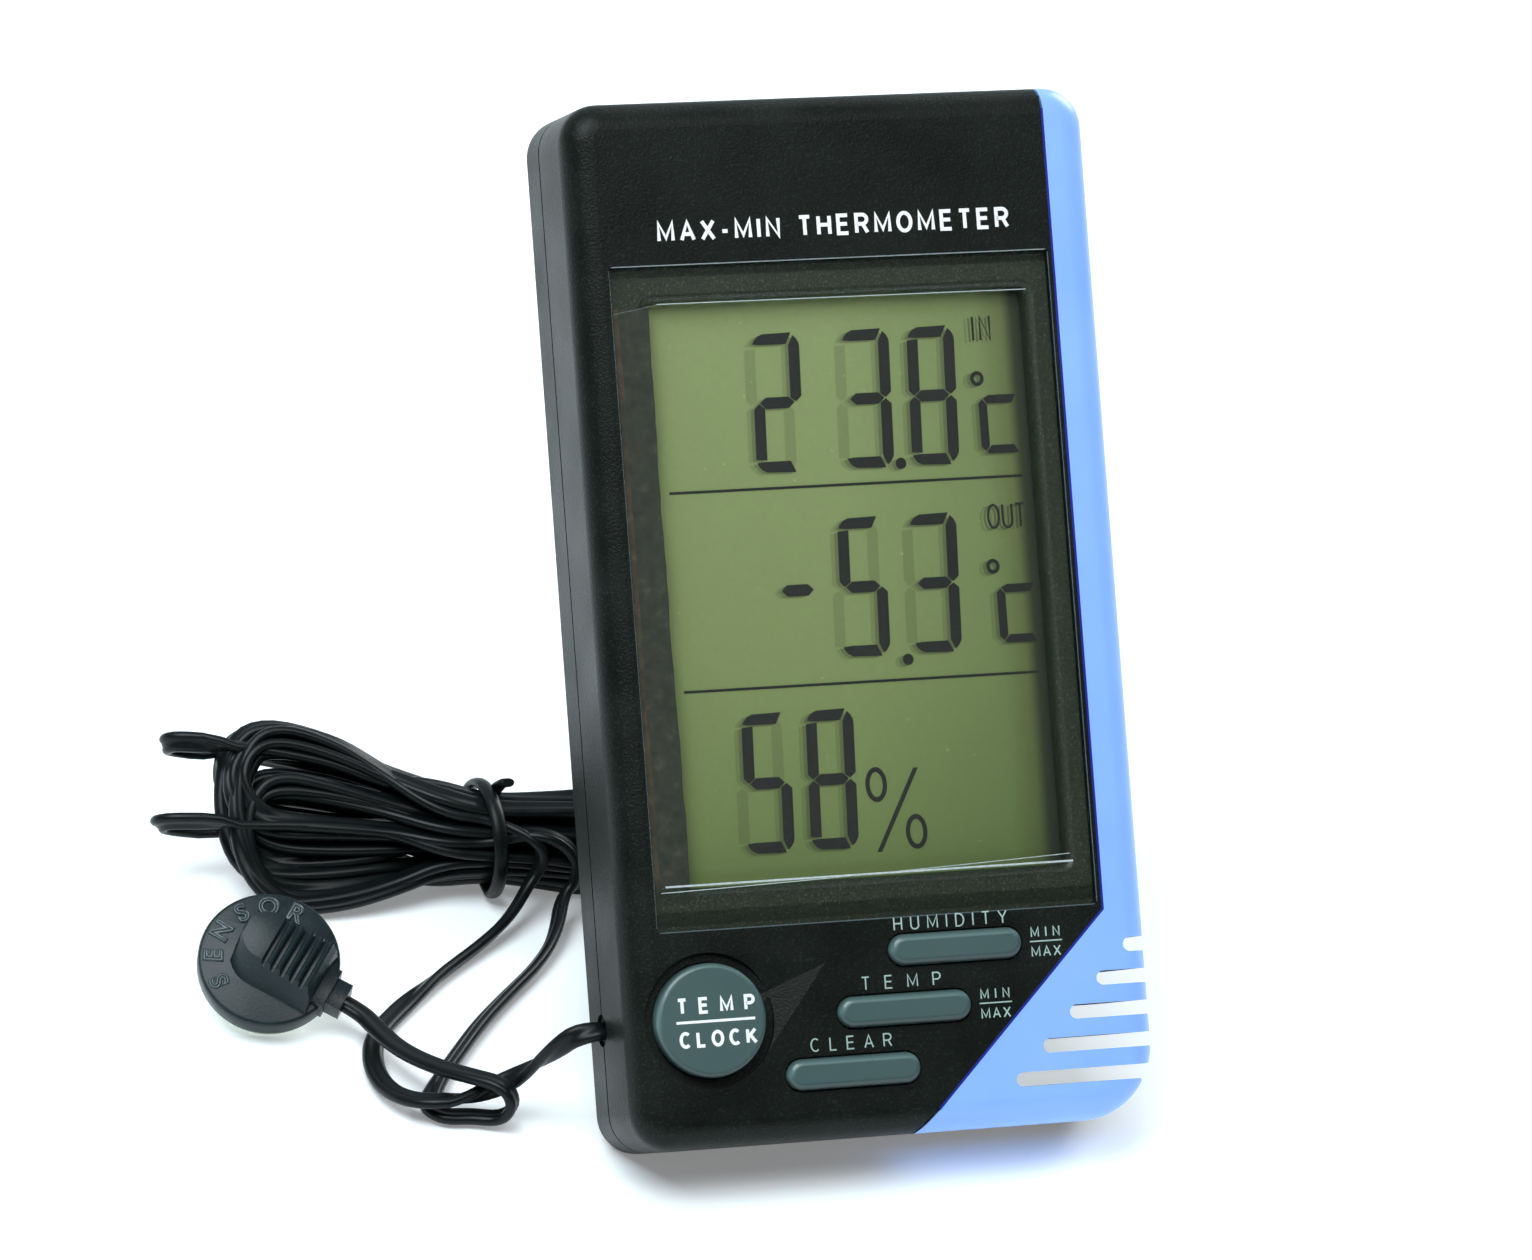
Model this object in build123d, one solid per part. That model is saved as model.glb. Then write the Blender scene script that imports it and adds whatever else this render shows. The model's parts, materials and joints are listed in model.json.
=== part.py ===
from build123d import *
import os
from math import atan2, ceil, cos, degrees, hypot, pi, radians, sin, tan

# A digital maximum-minimum thermometer with a wired outdoor sensor, in millimetres.
# The case is drawn lying on its back: x to the right, y up the face, z from the rear cover to
# the front. It is then leaned back on its stand, and the floor becomes z = 0.

# Case
WIDTH = 58.0
HEIGHT = 110.0
DEPTH = 16.0
CORNER_R = 4.2
VENT_CORNER_R = 8.0
FRONT_EDGE_R = 3.0
CENTRE_EDGE_R = 2.2  # mm, front edge radius that the origin was set with, so a new radius doesn't move the case
REAR_EDGE_R = 1.2
WALL = 1.8
FACE_WALL = 2.0
COVER_WALL = 1.6
SEAM_Z = 5.45
SEAM_GAP = 0.3
LIP_T = 0.9
LIP_H = 1.6
SHELL_Z = SEAM_Z + SEAM_GAP
FACE_IN_Z = DEPTH - FACE_WALL
FIT = 0.05
HOLE_FIT = 0.03

# Posture
LEAN = 34.0
FOOT_LAND_DEPTH = 0.4

# Coloured trim and its vent slots
TRIM_T = 1.0
TRIM_X = 53.06
TRIM_CORNER_Y = 22.15
TRIM_GAP = 0.25
SLOT_COUNT = 5
SLOT_H = 1.5
SLOT_TOP_Y = 18.3
SLOT_PITCH = 3.37
SLOT_LEFT_X = 54.9
SLOT_STEP_X = 3.25
FIN_R = 0.55

# Display window: left, right, bottom and top edges
WIN_L, WIN_R, WIN_B, WIN_T = 3.6, 52.45, 22.7, 92.6
WIN_CORNER_R = 0.6
LENS_Z = 14.85
LENS_FRONT_Z = 15.85
LENS_STEP = (4.9, 50.3, 27.4, 88.4)
BEZEL_REAR_Z = 12.6
BEZEL_FLANGE = (2.4, 54.0, 21.9, 93.6)
VIEW = (7.75, 49.9, 27.3, 88.7)
VIEW_EDGE_R = 0.9
LCD_L, LCD_R = 6.0, 51.2
LCD_B, LCD_T = 24.9, 91.1
GLASS_T = 0.9
CONTACT_LEDGE = 2.4
REFLECTOR_T = 0.2

# Circuit board
BOARD_Z = 7.6
BOARD_T = 1.0
BOARD = (2.4, 55.2, 2.6, 92.6)
BOARD_CUT = 36.2
BOARD_POSTS = [(4.2, 32.0), (4.2, 85.5), (52.6, 32.0), (52.6, 85.5)]
POST_R = 1.25
BOARD_SCREW_R = 0.7
BOARD_TOP_Z = BOARD_Z + BOARD_T

# Buttons
TRAVEL = 0.8
CAP_TOP_Z = DEPTH + 0.9
CAP_GAP = 0.18
BUTTON_FLANGE_T = 0.9
BUTTON_FLANGE_Z = FACE_IN_Z - 0.06 - BUTTON_FLANGE_T
FLANGE_W = 0.7
ROUND_AT = (8.66, 13.36)
ROUND_R = 6.0
BAR_W, BAR_H = 14.7, 3.3
BAR_AT = {"humidity": (36.1, 19.3), "temp": (30.0, 13.15), "clear": (23.9, 7.0)}
STEM_R = 1.3
STEM_Z = 11.85
PLUNGER_R = 1.0
SWITCH_SIDE = 4.4
SWITCH_TOP_Z = 10.9
DISH_R = 7.1
DISH_DEPTH = 0.65
DISH_TIP = (21.8, 18.6)

# Kickstand
HINGE_Y = 58.0
HINGE_Z = 1.55
STAND_OPEN = 46.0
STAND_W = 23.4
STAND_T = 1.8
KNUCKLE_R = 1.3
PIN_R = 0.6
PIN_LENGTH = 26.0
POCKET_SIDE = 0.35
POCKET_DEPTH = 2.75
POCKET_HINGE_DEPTH = 3.1
POCKET_FLOOR_T = 1.2
MID_X = WIDTH / 2

# Battery, an AAA cell lying across the top
CELL_LENGTH = 44.5
CELL_R = 5.25
CELL_Y = 101.0
CELL_Z = 7.3
CELL_X = 8.35
NUB_LENGTH = 1.1
NUB_R = 1.9
BAY = (4.6, 53.4, 95.0, 107.0)
BAY_WALL = 0.75
BAY_TOP_Z = 10.5
CONTACT_T = 0.4
SURROUND_T = 2.4
DOOR = (5.0, 53.0, 93.4)
DOOR_T = 1.5
TONGUE_W = 0.6
TONGUE_T = 0.75
DOOR_GAP = 0.1

# Rear details
SCREW_AT = [(5.2, 4.4), (36.0, 3.6)]
SCREW_R = 0.85
SCREW_HEAD_R = 1.8
SCREW_HEAD_H = 1.2
SCREW_WELL = 2.6
BOSS_R = 2.1
KEYHOLE_AT = (MID_X, 76.0)
KEYHOLE_R = 3.0
KEYHOLE_SLOT_R = 1.6
KEYHOLE_RISE = 6.0
KEYHOLE_DEPTH = 3.6
UNIT_AT = (47.0, 72.0)
UNIT_TRAVEL = 2.0

# Lead exit at the left side
EXIT_Y = 13.2
EXIT_Z = 5.3
EXIT_R = 1.72
GROMMET_IN = 0.4
GROMMET_END = 2.8
LEAD_START = 1.6
LEAD_R = 0.95

# Outdoor sensor on its lead, drawn with its pad on z = 0 and its lead leaving along +x
DISC_R = 7.65
PAD_R = 7.3
PAD_T = 1.1
DISC_TOP = 3.8
BOSS_TOP = 8.0
RELIEF_END = 9.8
RELIEF_Z = 2.4
RELIEF_BORE = 2.0
SENSOR_AT = (-57.3, 7.87, 4.37)
SENSOR_NORMAL = (-0.146, -0.573, 0.806)
SENSOR_LEAD_WAY = (0.790, -0.555, -0.260)

# The lead's two free stretches and the hank, on the floor behind the case
DEVICE_LEG = [
    (-31.6, -21.33, 13.03),
    (-33.6, -20.2, 10.2),
    (-35.1, -17.8, 6.6),
    (-37.7, -16.3, 3.8),
    (-41.4, -17.1, 3.05),
    (-45.1, -17.5, 3.05),
    (-47.9, -15.2, 2.2),
    (-49.1, -10.9, 1.2),
    (-49.0, -6.0, 1.0),
    (-47.4, -1.0, 1.0),
    (-43.3, 4.0, 1.0),
    (-37.0, 10.3, 1.0),
    (-31.0, 15.4, 1.2),
    (-26.8, 19.0, 2.2),
    (-23.9, 22.4, 4.2),
]
SENSOR_LEG = [
    (-48.81, 0.23, 3.455),
    (-47.9, -3.1, 3.3),
    (-46.7, -8.0, 3.7),
    (-44.2, -12.9, 4.5),
    (-41.5, -16.3, 5.3),
    (-38.2, -19.0, 5.6),
    (-37.1, -19.8, 3.4),
    (-38.2, -18.9, 1.2),
    (-41.3, -17.5, 0.97),
    (-44.2, -17.4, 1.0),
    (-45.3, -14.8, 0.97),
    (-42.8, -10.4, 1.0),
    (-39.3, -5.4, 0.97),
    (-35.5, -0.1, 1.0),
    (-31.0, 5.2, 0.97),
    (-26.0, 10.6, 1.0),
    (-22.6, 15.4, 1.6),
    (-20.6, 20.6, 3.6),
]
ARC_SHARE = 0.45
# Each hank section: x, then the middle's y and z, then the half width and half height
HANK = [
    (-61.0, 37.5, 7.8, 4.0, 4.2),
    (-55.0, 35.5, 8.45, 10.2, 8.4),
    (-46.0, 34.0, 8.05, 9.4, 8.0),
    (-37.0, 31.2, 6.95, 7.6, 6.9),
    (-27.5, 29.0, 6.35, 6.0, 6.0),
    (-16.0, 28.4, 6.25, 7.0, 6.2),
    (4.0, 28.2, 6.35, 7.2, 6.3),
    (22.0, 28.6, 6.05, 6.6, 6.0),
    (30.0, 29.0, 6.0, 3.6, 3.8),
]
TIE_AT = (-27.5, 29.0, 6.35)
TIE_R = 5.6
TIE_T = 0.7
TIE_W = 2.4


def box(x0, x1, y0, y1, z0, z1):
    """A box between two values on each axis."""
    return Pos((x0 + x1) / 2, (y0 + y1) / 2, (z0 + z1) / 2) * Box(x1 - x0, y1 - y0, z1 - z0)


def column(at, radius, z0, z1):
    """An upright cylinder."""
    return Pos(at[0], at[1], (z0 + z1) / 2) * Cylinder(radius, z1 - z0)


def rod_x(x0, x1, y, z, radius):
    """A cylinder along x."""
    return Pos((x0 + x1) / 2, y, z) * Rot(0, 90, 0) * Cylinder(radius, x1 - x0)


def prism(sketch, z0, z1):
    """A flat sketch pulled up from z0 to z1."""
    return extrude(Pos(0, 0, z0) * sketch, z1 - z0)


def outline(inset=0.0):
    """The case's outline, drawn in by inset, with its one large corner at the vents."""
    plate = Pos(WIDTH / 2, HEIGHT / 2) * Rectangle(WIDTH - 2 * inset, HEIGHT - 2 * inset)
    corners = sorted(plate.vertices(), key=lambda v: v.Y - v.X)
    plate = fillet(corners[0], VENT_CORNER_R - inset)
    corners = sorted(plate.vertices(), key=lambda v: v.Y - v.X)
    return fillet(corners[-3:], CORNER_R - inset)


def slot_row():
    """The vent slots, open at the right edge."""
    slots = []
    for k in range(SLOT_COUNT):
        left = SLOT_LEFT_X - SLOT_STEP_X * k
        length = WIDTH + 5 - left
        slots.append(Pos(left + length / 2, SLOT_TOP_Y - SLOT_PITCH * k) * SlotOverall(length, SLOT_H))
    return slots


def comb():
    """The outline with the vent slots taken out and the fins' ends rounded."""
    plate = outline()
    for slot in slot_row():
        plate = plate - slot
    mouths = [v for v in plate.vertices() if v.X > WIDTH - 3 and v.Y < SLOT_TOP_Y + SLOT_H]
    mouths = [v for v in mouths if abs((v.Y - SLOT_TOP_Y) % SLOT_PITCH - SLOT_H / 2) < 0.05
              or abs((v.Y - SLOT_TOP_Y) % SLOT_PITCH - SLOT_PITCH + SLOT_H / 2) < 0.05]
    return fillet(mouths, FIN_R)


def front_envelope():
    """The front half's full outer form."""
    body = prism(outline(), SHELL_Z, DEPTH)
    return fillet(body.faces().sort_by(Axis.Z)[-1].edges(), FRONT_EDGE_R)


def rear_envelope():
    """The rear half's full outer form."""
    body = prism(outline(), 0, SEAM_Z)
    return fillet(body.faces().sort_by(Axis.Z)[0].edges(), REAR_EDGE_R)


def trim_region(grow):
    """The area the trim covers, grown to the left by grow."""
    x = TRIM_X - grow
    diagonal = TRIM_X - TRIM_CORNER_Y - grow * 2 ** 0.5
    low, far = -5, HEIGHT + 5
    corners = [(x, far), (x, x - diagonal), (diagonal + low, low), (WIDTH + 5, low), (WIDTH + 5, far)]
    return prism(make_face(Polyline(*corners, close=True)), 0, DEPTH + 2)


def trim_core():
    """What lies under the trim's skin."""
    return prism(outline(TRIM_T), 0, DEPTH - TRIM_T)


def vent_trim():
    """The coloured skin down the right side, with the vent fins at its foot."""
    skin = (front_envelope() & trim_region(0)) - trim_core()
    return skin & prism(comb(), 0, DEPTH + 2)


def window(rect, z0, z1, radius, shrink=0.0):
    """A round-cornered block over a rectangle given as left, right, bottom and top."""
    left, right, bottom, top = rect
    sketch = Pos((left + right) / 2, (bottom + top) / 2) * RectangleRounded(
        right - left - 2 * shrink, top - bottom - 2 * shrink, radius)
    return prism(sketch, z0, z1)


def wedge(tip, a, b, bottom):
    """A solid with four corners."""
    sides = [(tip, a, b), (tip, a, bottom), (tip, b, bottom), (a, b, bottom)]
    return Solid(Shell([Face(Wire.make_polygon(list(side), close=True)) for side in sides]))


def pointer_dish():
    """The shallow round dish about the round button, drawn out to a point."""
    x, y = ROUND_AT
    reach = hypot(DISH_TIP[0] - x, DISH_TIP[1] - y)
    way = atan2(DISH_TIP[1] - y, DISH_TIP[0] - x)
    touch = (reach ** 2 - DISH_R ** 2) ** 0.5
    half = atan2(DISH_R, touch)
    top = DEPTH + 0.01

    def tangent(side):
        turn = way + pi + side * half
        return (DISH_TIP[0] + touch * cos(turn), DISH_TIP[1] + touch * sin(turn), top)

    point = wedge((*DISH_TIP, top), tangent(1), tangent(-1), (x, y, DEPTH - 2.2 * DISH_DEPTH))
    return column(ROUND_AT, DISH_R, DEPTH - DISH_DEPTH, DEPTH + 1) + point


def bar_slab(at, grow, z0, z1):
    """A round-ended bar's block."""
    return prism(Pos(*at) * SlotOverall(BAR_W + 2 * grow, BAR_H + 2 * grow), z0, z1)


def exit_bore():
    """The stepped hole for the lead and its grommet, half in each shell."""
    return rod_x(-1, WALL + 0.05, EXIT_Y, EXIT_Z, EXIT_R) + rod_x(
        WALL + 0.05, WALL + 1.5, EXIT_Y, EXIT_Z, EXIT_R + 1.0)


def front_shell():
    """The black front half: face, sides, window and screw bosses."""
    body = front_envelope() - prism(outline(WALL), 0, FACE_IN_Z)
    body -= (trim_region(TRIM_GAP) & prism(outline(-1), 0, DEPTH + 1)) - trim_core()
    for at in SCREW_AT:
        body += column(at, BOSS_R, SHELL_Z, FACE_IN_Z + 0.2)
    body &= prism(comb(), 0, DEPTH + 2)
    body -= window((WIN_L, WIN_R, WIN_B, WIN_T), FACE_IN_Z - 1, DEPTH + 1, WIN_CORNER_R)
    body -= pointer_dish()
    body -= column(ROUND_AT, ROUND_R + CAP_GAP, FACE_IN_Z - 1, DEPTH + 1)
    for at in BAR_AT.values():
        body -= bar_slab(at, CAP_GAP, FACE_IN_Z - 1, DEPTH + 1)
    for at in SCREW_AT:
        body -= column(at, SCREW_R + HOLE_FIT, SHELL_Z - 1, FACE_IN_Z - 2)
    return body - exit_bore()


def stand_pocket():
    """The recess that the folded stand lies in, with a finger scoop at its foot."""
    half = STAND_W / 2 + POCKET_SIDE
    foot = HINGE_Y - stand_length() - 1.2
    pocket = box(MID_X - half, MID_X + half, foot, HINGE_Y + 2.2, -1, POCKET_DEPTH)
    pocket += box(MID_X - half, MID_X + half, HINGE_Y - 2.6, HINGE_Y + 2.2, -1, POCKET_HINGE_DEPTH)
    return pocket + column((MID_X, foot + 0.6), 4.0, -1, 1.9)


def door_opening():
    """The gap in the cover that the battery door fills, with its two side grooves."""
    left, right, bottom = DOOR
    gap = DOOR_GAP
    plate = box(left - gap, right + gap, bottom - gap, HEIGHT + 1, -1, DOOR_T + gap)
    grooves = box(left - TONGUE_W - gap, right + TONGUE_W + gap, bottom - gap, HEIGHT + 1,
                  DOOR_T - TONGUE_T - gap, DOOR_T + gap)
    return plate + grooves


def battery_bay(x0, x1, y0, y1):
    """The four walls that hold the cell."""
    outer = box(x0 - BAY_WALL, x1 + BAY_WALL, y0 - BAY_WALL, y1 + BAY_WALL, 1, BAY_TOP_Z)
    return outer - box(x0, x1, y0, y1, 0, BAY_TOP_Z + 1)


def keyhole():
    """The wall-hanging hole: a round mouth and a narrow slot above it."""
    x, y = KEYHOLE_AT
    slot = box(x - KEYHOLE_SLOT_R, x + KEYHOLE_SLOT_R, y, y + KEYHOLE_RISE, -1, COVER_WALL)
    slot += column((x, y + KEYHOLE_RISE), KEYHOLE_SLOT_R, -1, COVER_WALL)
    pocket = box(x - KEYHOLE_R, x + KEYHOLE_R, y, y + KEYHOLE_RISE + 1, COVER_WALL, KEYHOLE_DEPTH)
    pocket += column((x, y + KEYHOLE_RISE + 1), KEYHOLE_R, COVER_WALL, KEYHOLE_DEPTH)
    return column((x, y), KEYHOLE_R, -1, KEYHOLE_DEPTH) + slot + pocket


def floor_cut():
    """Everything below the floor, in the case's own frame."""
    big = 400
    return (placing().inverse()) * (Pos(0, 0, -big / 2) * Box(big, big, big))


def rear_cover():
    """The black rear half: stand pocket, battery bay, keyhole, screw wells and vents."""
    body = rear_envelope() - prism(outline(WALL), COVER_WALL, SEAM_Z + 1)
    lip = prism(outline(WALL + FIT), COVER_WALL, SEAM_Z + LIP_H)
    body += lip - prism(outline(WALL + FIT + LIP_T), COVER_WALL - 1, SEAM_Z + LIP_H + 1)
    half = STAND_W / 2 + POCKET_SIDE + POCKET_FLOOR_T
    foot = HINGE_Y - stand_length() - 2.4
    body += box(MID_X - half, MID_X + half, foot, HINGE_Y + 3.4, 1, POCKET_DEPTH + POCKET_FLOOR_T)
    body += box(MID_X - half, MID_X + half, HINGE_Y - 3.8, HINGE_Y + 3.4, 1,
                POCKET_HINGE_DEPTH + POCKET_FLOOR_T)
    body += prism(outline(WALL), 1, SURROUND_T) & box(0, WIDTH, BAY[2] - 3.2, HEIGHT, 0, DEPTH)
    body += battery_bay(*BAY)
    x, y = KEYHOLE_AT
    body += box(x - 4, x + 4, y - 4, y + KEYHOLE_RISE + 5, 1, KEYHOLE_DEPTH + 0.8)
    for at in SCREW_AT:
        body += column(at, SCREW_HEAD_R + 0.9, 1, SHELL_Z)
    body &= prism(comb(), -1, DEPTH)
    body -= stand_pocket()
    body -= rod_x(MID_X - PIN_LENGTH / 2 - FIT, MID_X + PIN_LENGTH / 2 + FIT, HINGE_Y, HINGE_Z, PIN_R + HOLE_FIT)
    body -= box(BAY[0], BAY[1], BAY[2], BAY[3], -1, DEPTH)
    body -= door_opening()
    body -= keyhole()
    for x in (BAY[0], BAY[1] - CONTACT_T - 0.1):
        body -= box(x, x + CONTACT_T + 0.1, BAY[2] - 2, BAY[2] + 1, SURROUND_T, BAY_TOP_Z + 1)
    for at in SCREW_AT:
        body -= column(at, SCREW_HEAD_R + 0.15, -1, SCREW_WELL)
        body -= column(at, SCREW_R + 0.2, 0, SHELL_Z + 1)
        body -= column(at, BOSS_R + 0.2, SHELL_Z, DEPTH)
    x, y = UNIT_AT
    body -= box(x - 4.5, x + 4.5, y - 2.4, y + 2.4, -1, 0.6)
    body -= box(x - 2.2, x + 2.2, y - 1.1, y + 1.1, -1, COVER_WALL + 1)
    return body - exit_bore() - floor_cut()


def display_lens():
    """The clear window, with a slightly raised middle."""
    plate = window((WIN_L, WIN_R, WIN_B, WIN_T), LENS_Z, LENS_FRONT_Z, WIN_CORNER_R, FIT)
    return plate + window(LENS_STEP, LENS_FRONT_Z, DEPTH, 0.5)


def display_bezel():
    """The frame under the lens that clamps the display and carries the board's posts."""
    body = window((WIN_L, WIN_R, WIN_B, WIN_T), BEZEL_REAR_Z, LENS_Z, WIN_CORNER_R, FIT)
    body += window(BEZEL_FLANGE, BEZEL_REAR_Z, FACE_IN_Z, 1.0)
    body -= window(VIEW, BEZEL_REAR_Z - 1, LENS_Z + 1, 0.6)
    inner = [e for e in body.edges() if abs(e.center().Z - LENS_Z) < 0.01 and on_view_edge(e.center())]
    body = fillet(inner, VIEW_EDGE_R)
    for at in BOARD_POSTS:
        body += column(at, POST_R, BOARD_TOP_Z, BEZEL_REAR_Z + 0.1)
        body -= column(at, BOARD_SCREW_R + HOLE_FIT, BOARD_TOP_Z - 1, BEZEL_REAR_Z)
    return body


def on_view_edge(p):
    """True at the rim of the view opening."""
    left, right, bottom, top = VIEW
    return left - 0.5 < p.X < right + 0.5 and bottom - 0.5 < p.Y < top + 0.5


def lcd_front_glass():
    """The display's front sheet, which overhangs the rear one at its contact ledges."""
    return box(LCD_L, LCD_R, LCD_B, LCD_T, BEZEL_REAR_Z - GLASS_T, BEZEL_REAR_Z)


def lcd_rear_glass():
    """The display's rear sheet."""
    top = BEZEL_REAR_Z - GLASS_T
    return box(LCD_L, LCD_R, LCD_B + CONTACT_LEDGE, LCD_T - CONTACT_LEDGE, top - GLASS_T, top)


def lcd_reflector():
    """The grey-green reflecting foil on the display's back."""
    top = BEZEL_REAR_Z - 2 * GLASS_T
    return box(LCD_L + 0.3, LCD_R - 0.3, LCD_B + CONTACT_LEDGE, LCD_T - CONTACT_LEDGE, top - REFLECTOR_T, top)


def zebra_strips():
    """The two striped rubber connectors from the board to the display's ledges."""
    top = BEZEL_REAR_Z - GLASS_T
    low = box(LCD_L + 2, LCD_R - 2, LCD_B + 0.2, LCD_B + CONTACT_LEDGE - 0.2, BOARD_TOP_Z, top)
    high = box(LCD_L + 2, LCD_R - 2, LCD_T - CONTACT_LEDGE + 0.2, LCD_T - 0.2, BOARD_TOP_Z, top)
    return Compound([low, high])


def circuit_board():
    """The green board, cut away at the vents and round the bosses."""
    left, right, bottom, top = BOARD
    cut = BOARD_CUT
    corners = [(left, bottom), (cut + bottom, bottom), (right, right - cut), (right, top), (left, top)]
    board = prism(make_face(Polyline(*corners, close=True)), BOARD_Z, BOARD_TOP_Z)
    for at in SCREW_AT:
        board -= column(at, BOSS_R + 0.3, 0, DEPTH)
    for at in BOARD_POSTS:
        board -= column(at, BOARD_SCREW_R + HOLE_FIT, 0, DEPTH)
    return board - box(0, 4.6, EXIT_Y - 3.4, EXIT_Y + 3.4, 0, DEPTH)


def controller_blob():
    """The controller chip under a low dome of black resin on the board's rear."""
    dome = Pos(30.0, 38.0, BOARD_Z) * Sphere(9.0)
    return dome & box(20, 40, 28, 48, BOARD_Z - 1.5, BOARD_Z) & column((30.0, 38.0), 6.0, 0, BOARD_Z)


def watch_crystal():
    """The timing crystal's small metal can, lying on the board's rear."""
    return rod_x(8.0, 14.0, 34.0, BOARD_Z - 1.05, 1.0)


def board_components():
    """Chip resistors and capacitors on the board's rear."""
    spots = [(10.0, 44.0), (10.0, 50.0), (47.5, 44.0), (47.5, 50.0), (12.0, 66.0), (40.0, 66.0)]
    return Compound([box(x - 1.0, x + 1.0, y - 0.65, y + 0.65, BOARD_Z - 0.7, BOARD_Z) for x, y in spots])


def board_screws():
    """The four small screws that hold the board to the bezel's posts."""
    screws = []
    for x, y in BOARD_POSTS:
        screw = column((x, y), BOARD_SCREW_R, BOARD_Z - 0.1, BEZEL_REAR_Z - 0.4)
        screw += column((x, y), 1.3, BOARD_Z - 0.9, BOARD_Z)
        screw -= box(x - 0.9, x + 0.9, y - 0.15, y + 0.15, BOARD_Z - 1, BOARD_Z - 0.5)
        screw -= box(x - 0.15, x + 0.15, y - 0.9, y + 0.9, BOARD_Z - 1, BOARD_Z - 0.5)
        screws.append(screw)
    return Compound([s.solid() for s in screws])


def case_screws():
    """The two screws that close the case."""
    screws = []
    for x, y in SCREW_AT:
        head_z = SCREW_WELL - SCREW_HEAD_H
        screw = column((x, y), SCREW_R, SCREW_WELL - 0.1, FACE_IN_Z - 2.5)
        screw += column((x, y), SCREW_HEAD_R, head_z, SCREW_WELL)
        screw -= box(x - 1.2, x + 1.2, y - 0.2, y + 0.2, head_z - 1, head_z + 0.6)
        screw -= box(x - 0.2, x + 0.2, y - 1.2, y + 1.2, head_z - 1, head_z + 0.6)
        screws.append(screw.solid())
    return Compound(screws)


def button_places():
    """Each button's name and centre."""
    return {"temp_clock": ROUND_AT, **BAR_AT}


def key_switches():
    """The four push switches on the board, each with a bore for its plunger."""
    half = SWITCH_SIDE / 2
    bodies = []
    for x, y in button_places().values():
        body = box(x - half, x + half, y - half / 1.3, y + half / 1.3, BOARD_TOP_Z, SWITCH_TOP_Z)
        body -= column((x, y), PLUNGER_R + 0.1, BOARD_TOP_Z + 0.4, DEPTH)
        bodies.append(body.solid())
    return Compound(bodies)


def switch_plunger(at):
    """One switch's plunger, which the button's stem stands on."""
    return column(at, PLUNGER_R, BOARD_TOP_Z + 0.45 + TRAVEL, STEM_Z)


def round_button(at):
    """The round key: a domed cap on a flange, with a stem."""
    cap = column(at, ROUND_R, BUTTON_FLANGE_Z, CAP_TOP_Z)
    cap = fillet(cap.faces().sort_by(Axis.Z)[-1].edges(), 0.55)
    cap += column(at, ROUND_R + FLANGE_W, BUTTON_FLANGE_Z, BUTTON_FLANGE_Z + BUTTON_FLANGE_T)
    cap -= column(at, ROUND_R - 1.2, 0, CAP_TOP_Z - 1.3)
    return cap + column(at, STEM_R, STEM_Z, CAP_TOP_Z - 1.2)


def bar_button(at):
    """One round-ended key on its flange, with a stem."""
    cap = bar_slab(at, 0, BUTTON_FLANGE_Z, CAP_TOP_Z)
    cap = fillet(cap.faces().sort_by(Axis.Z)[-1].edges(), 0.75)
    cap += bar_slab(at, FLANGE_W, BUTTON_FLANGE_Z, BUTTON_FLANGE_Z + BUTTON_FLANGE_T)
    return cap + column(at, STEM_R, STEM_Z, BUTTON_FLANGE_Z + 0.1)


def humidity_sensor():
    """The small grilled humidity element beside the vents."""
    case = Box(5.0, 4.0, 1.6)
    for k in (-1.4, 0, 1.4):
        case -= Pos(k, 0, 0.6) * Box(0.6, 2.8, 0.8)
    return Pos(45.2, 12.4, BOARD_TOP_Z + 0.8) * Rot(0, 0, 45) * case


def room_thermistor():
    """The indoor temperature bead on its two legs."""
    x, y = 41.6, 7.6
    bead = Pos(x, y, 12.0) * Sphere(0.95)
    for side in (-0.5, 0.5):
        bead += column((x + side, y), 0.22, BOARD_TOP_Z, 11.8)
    return bead


def unit_switch_body():
    """The slide switch's fixed case on the board's rear."""
    x, y = UNIT_AT
    case = box(x - 4.3, x + 4.3, y - 1.8, y + 1.8, 4.2, BOARD_Z)
    return case - box(x - 2.2, x + 2.2, y - 0.95, y + 0.95, 0, 5.6)


def unit_switch_knob():
    """The sliding knob that picks the temperature unit, at the left end of its travel."""
    x, y = UNIT_AT
    middle = x - UNIT_TRAVEL / 2
    return box(middle - 0.95, middle + 0.95, y - 0.85, y + 0.85, 0.25, 5.5)


def battery_cell():
    """The AAA cell: body, shoulder and positive nub."""
    shoulder = CELL_X + CELL_LENGTH - NUB_LENGTH
    body = rod_x(CELL_X, shoulder, CELL_Y, CELL_Z, CELL_R)
    body = fillet(body.edges().filter_by(GeomType.CIRCLE), 0.5)
    return body + rod_x(shoulder - 0.2, CELL_X + CELL_LENGTH, CELL_Y, CELL_Z, NUB_R)


def contact_plate(x0):
    """A sprung steel contact against one end of the bay, with a tab down to the board."""
    plate = box(x0, x0 + CONTACT_T, BAY[2] + 0.2, BAY[3] - 0.2, SURROUND_T + 0.1, BAY_TOP_Z)
    return plate + box(x0, x0 + CONTACT_T, BOARD[3] - 1.8, BAY[2] + 0.4, BOARD_Z - 1.6, BOARD_Z)


def battery_contact_positive():
    """The plate that the nub presses on."""
    return contact_plate(BAY[1] - CONTACT_T - FIT)


def battery_contact_negative():
    """The plate that carries the spring."""
    return contact_plate(BAY[0] + FIT)


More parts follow.
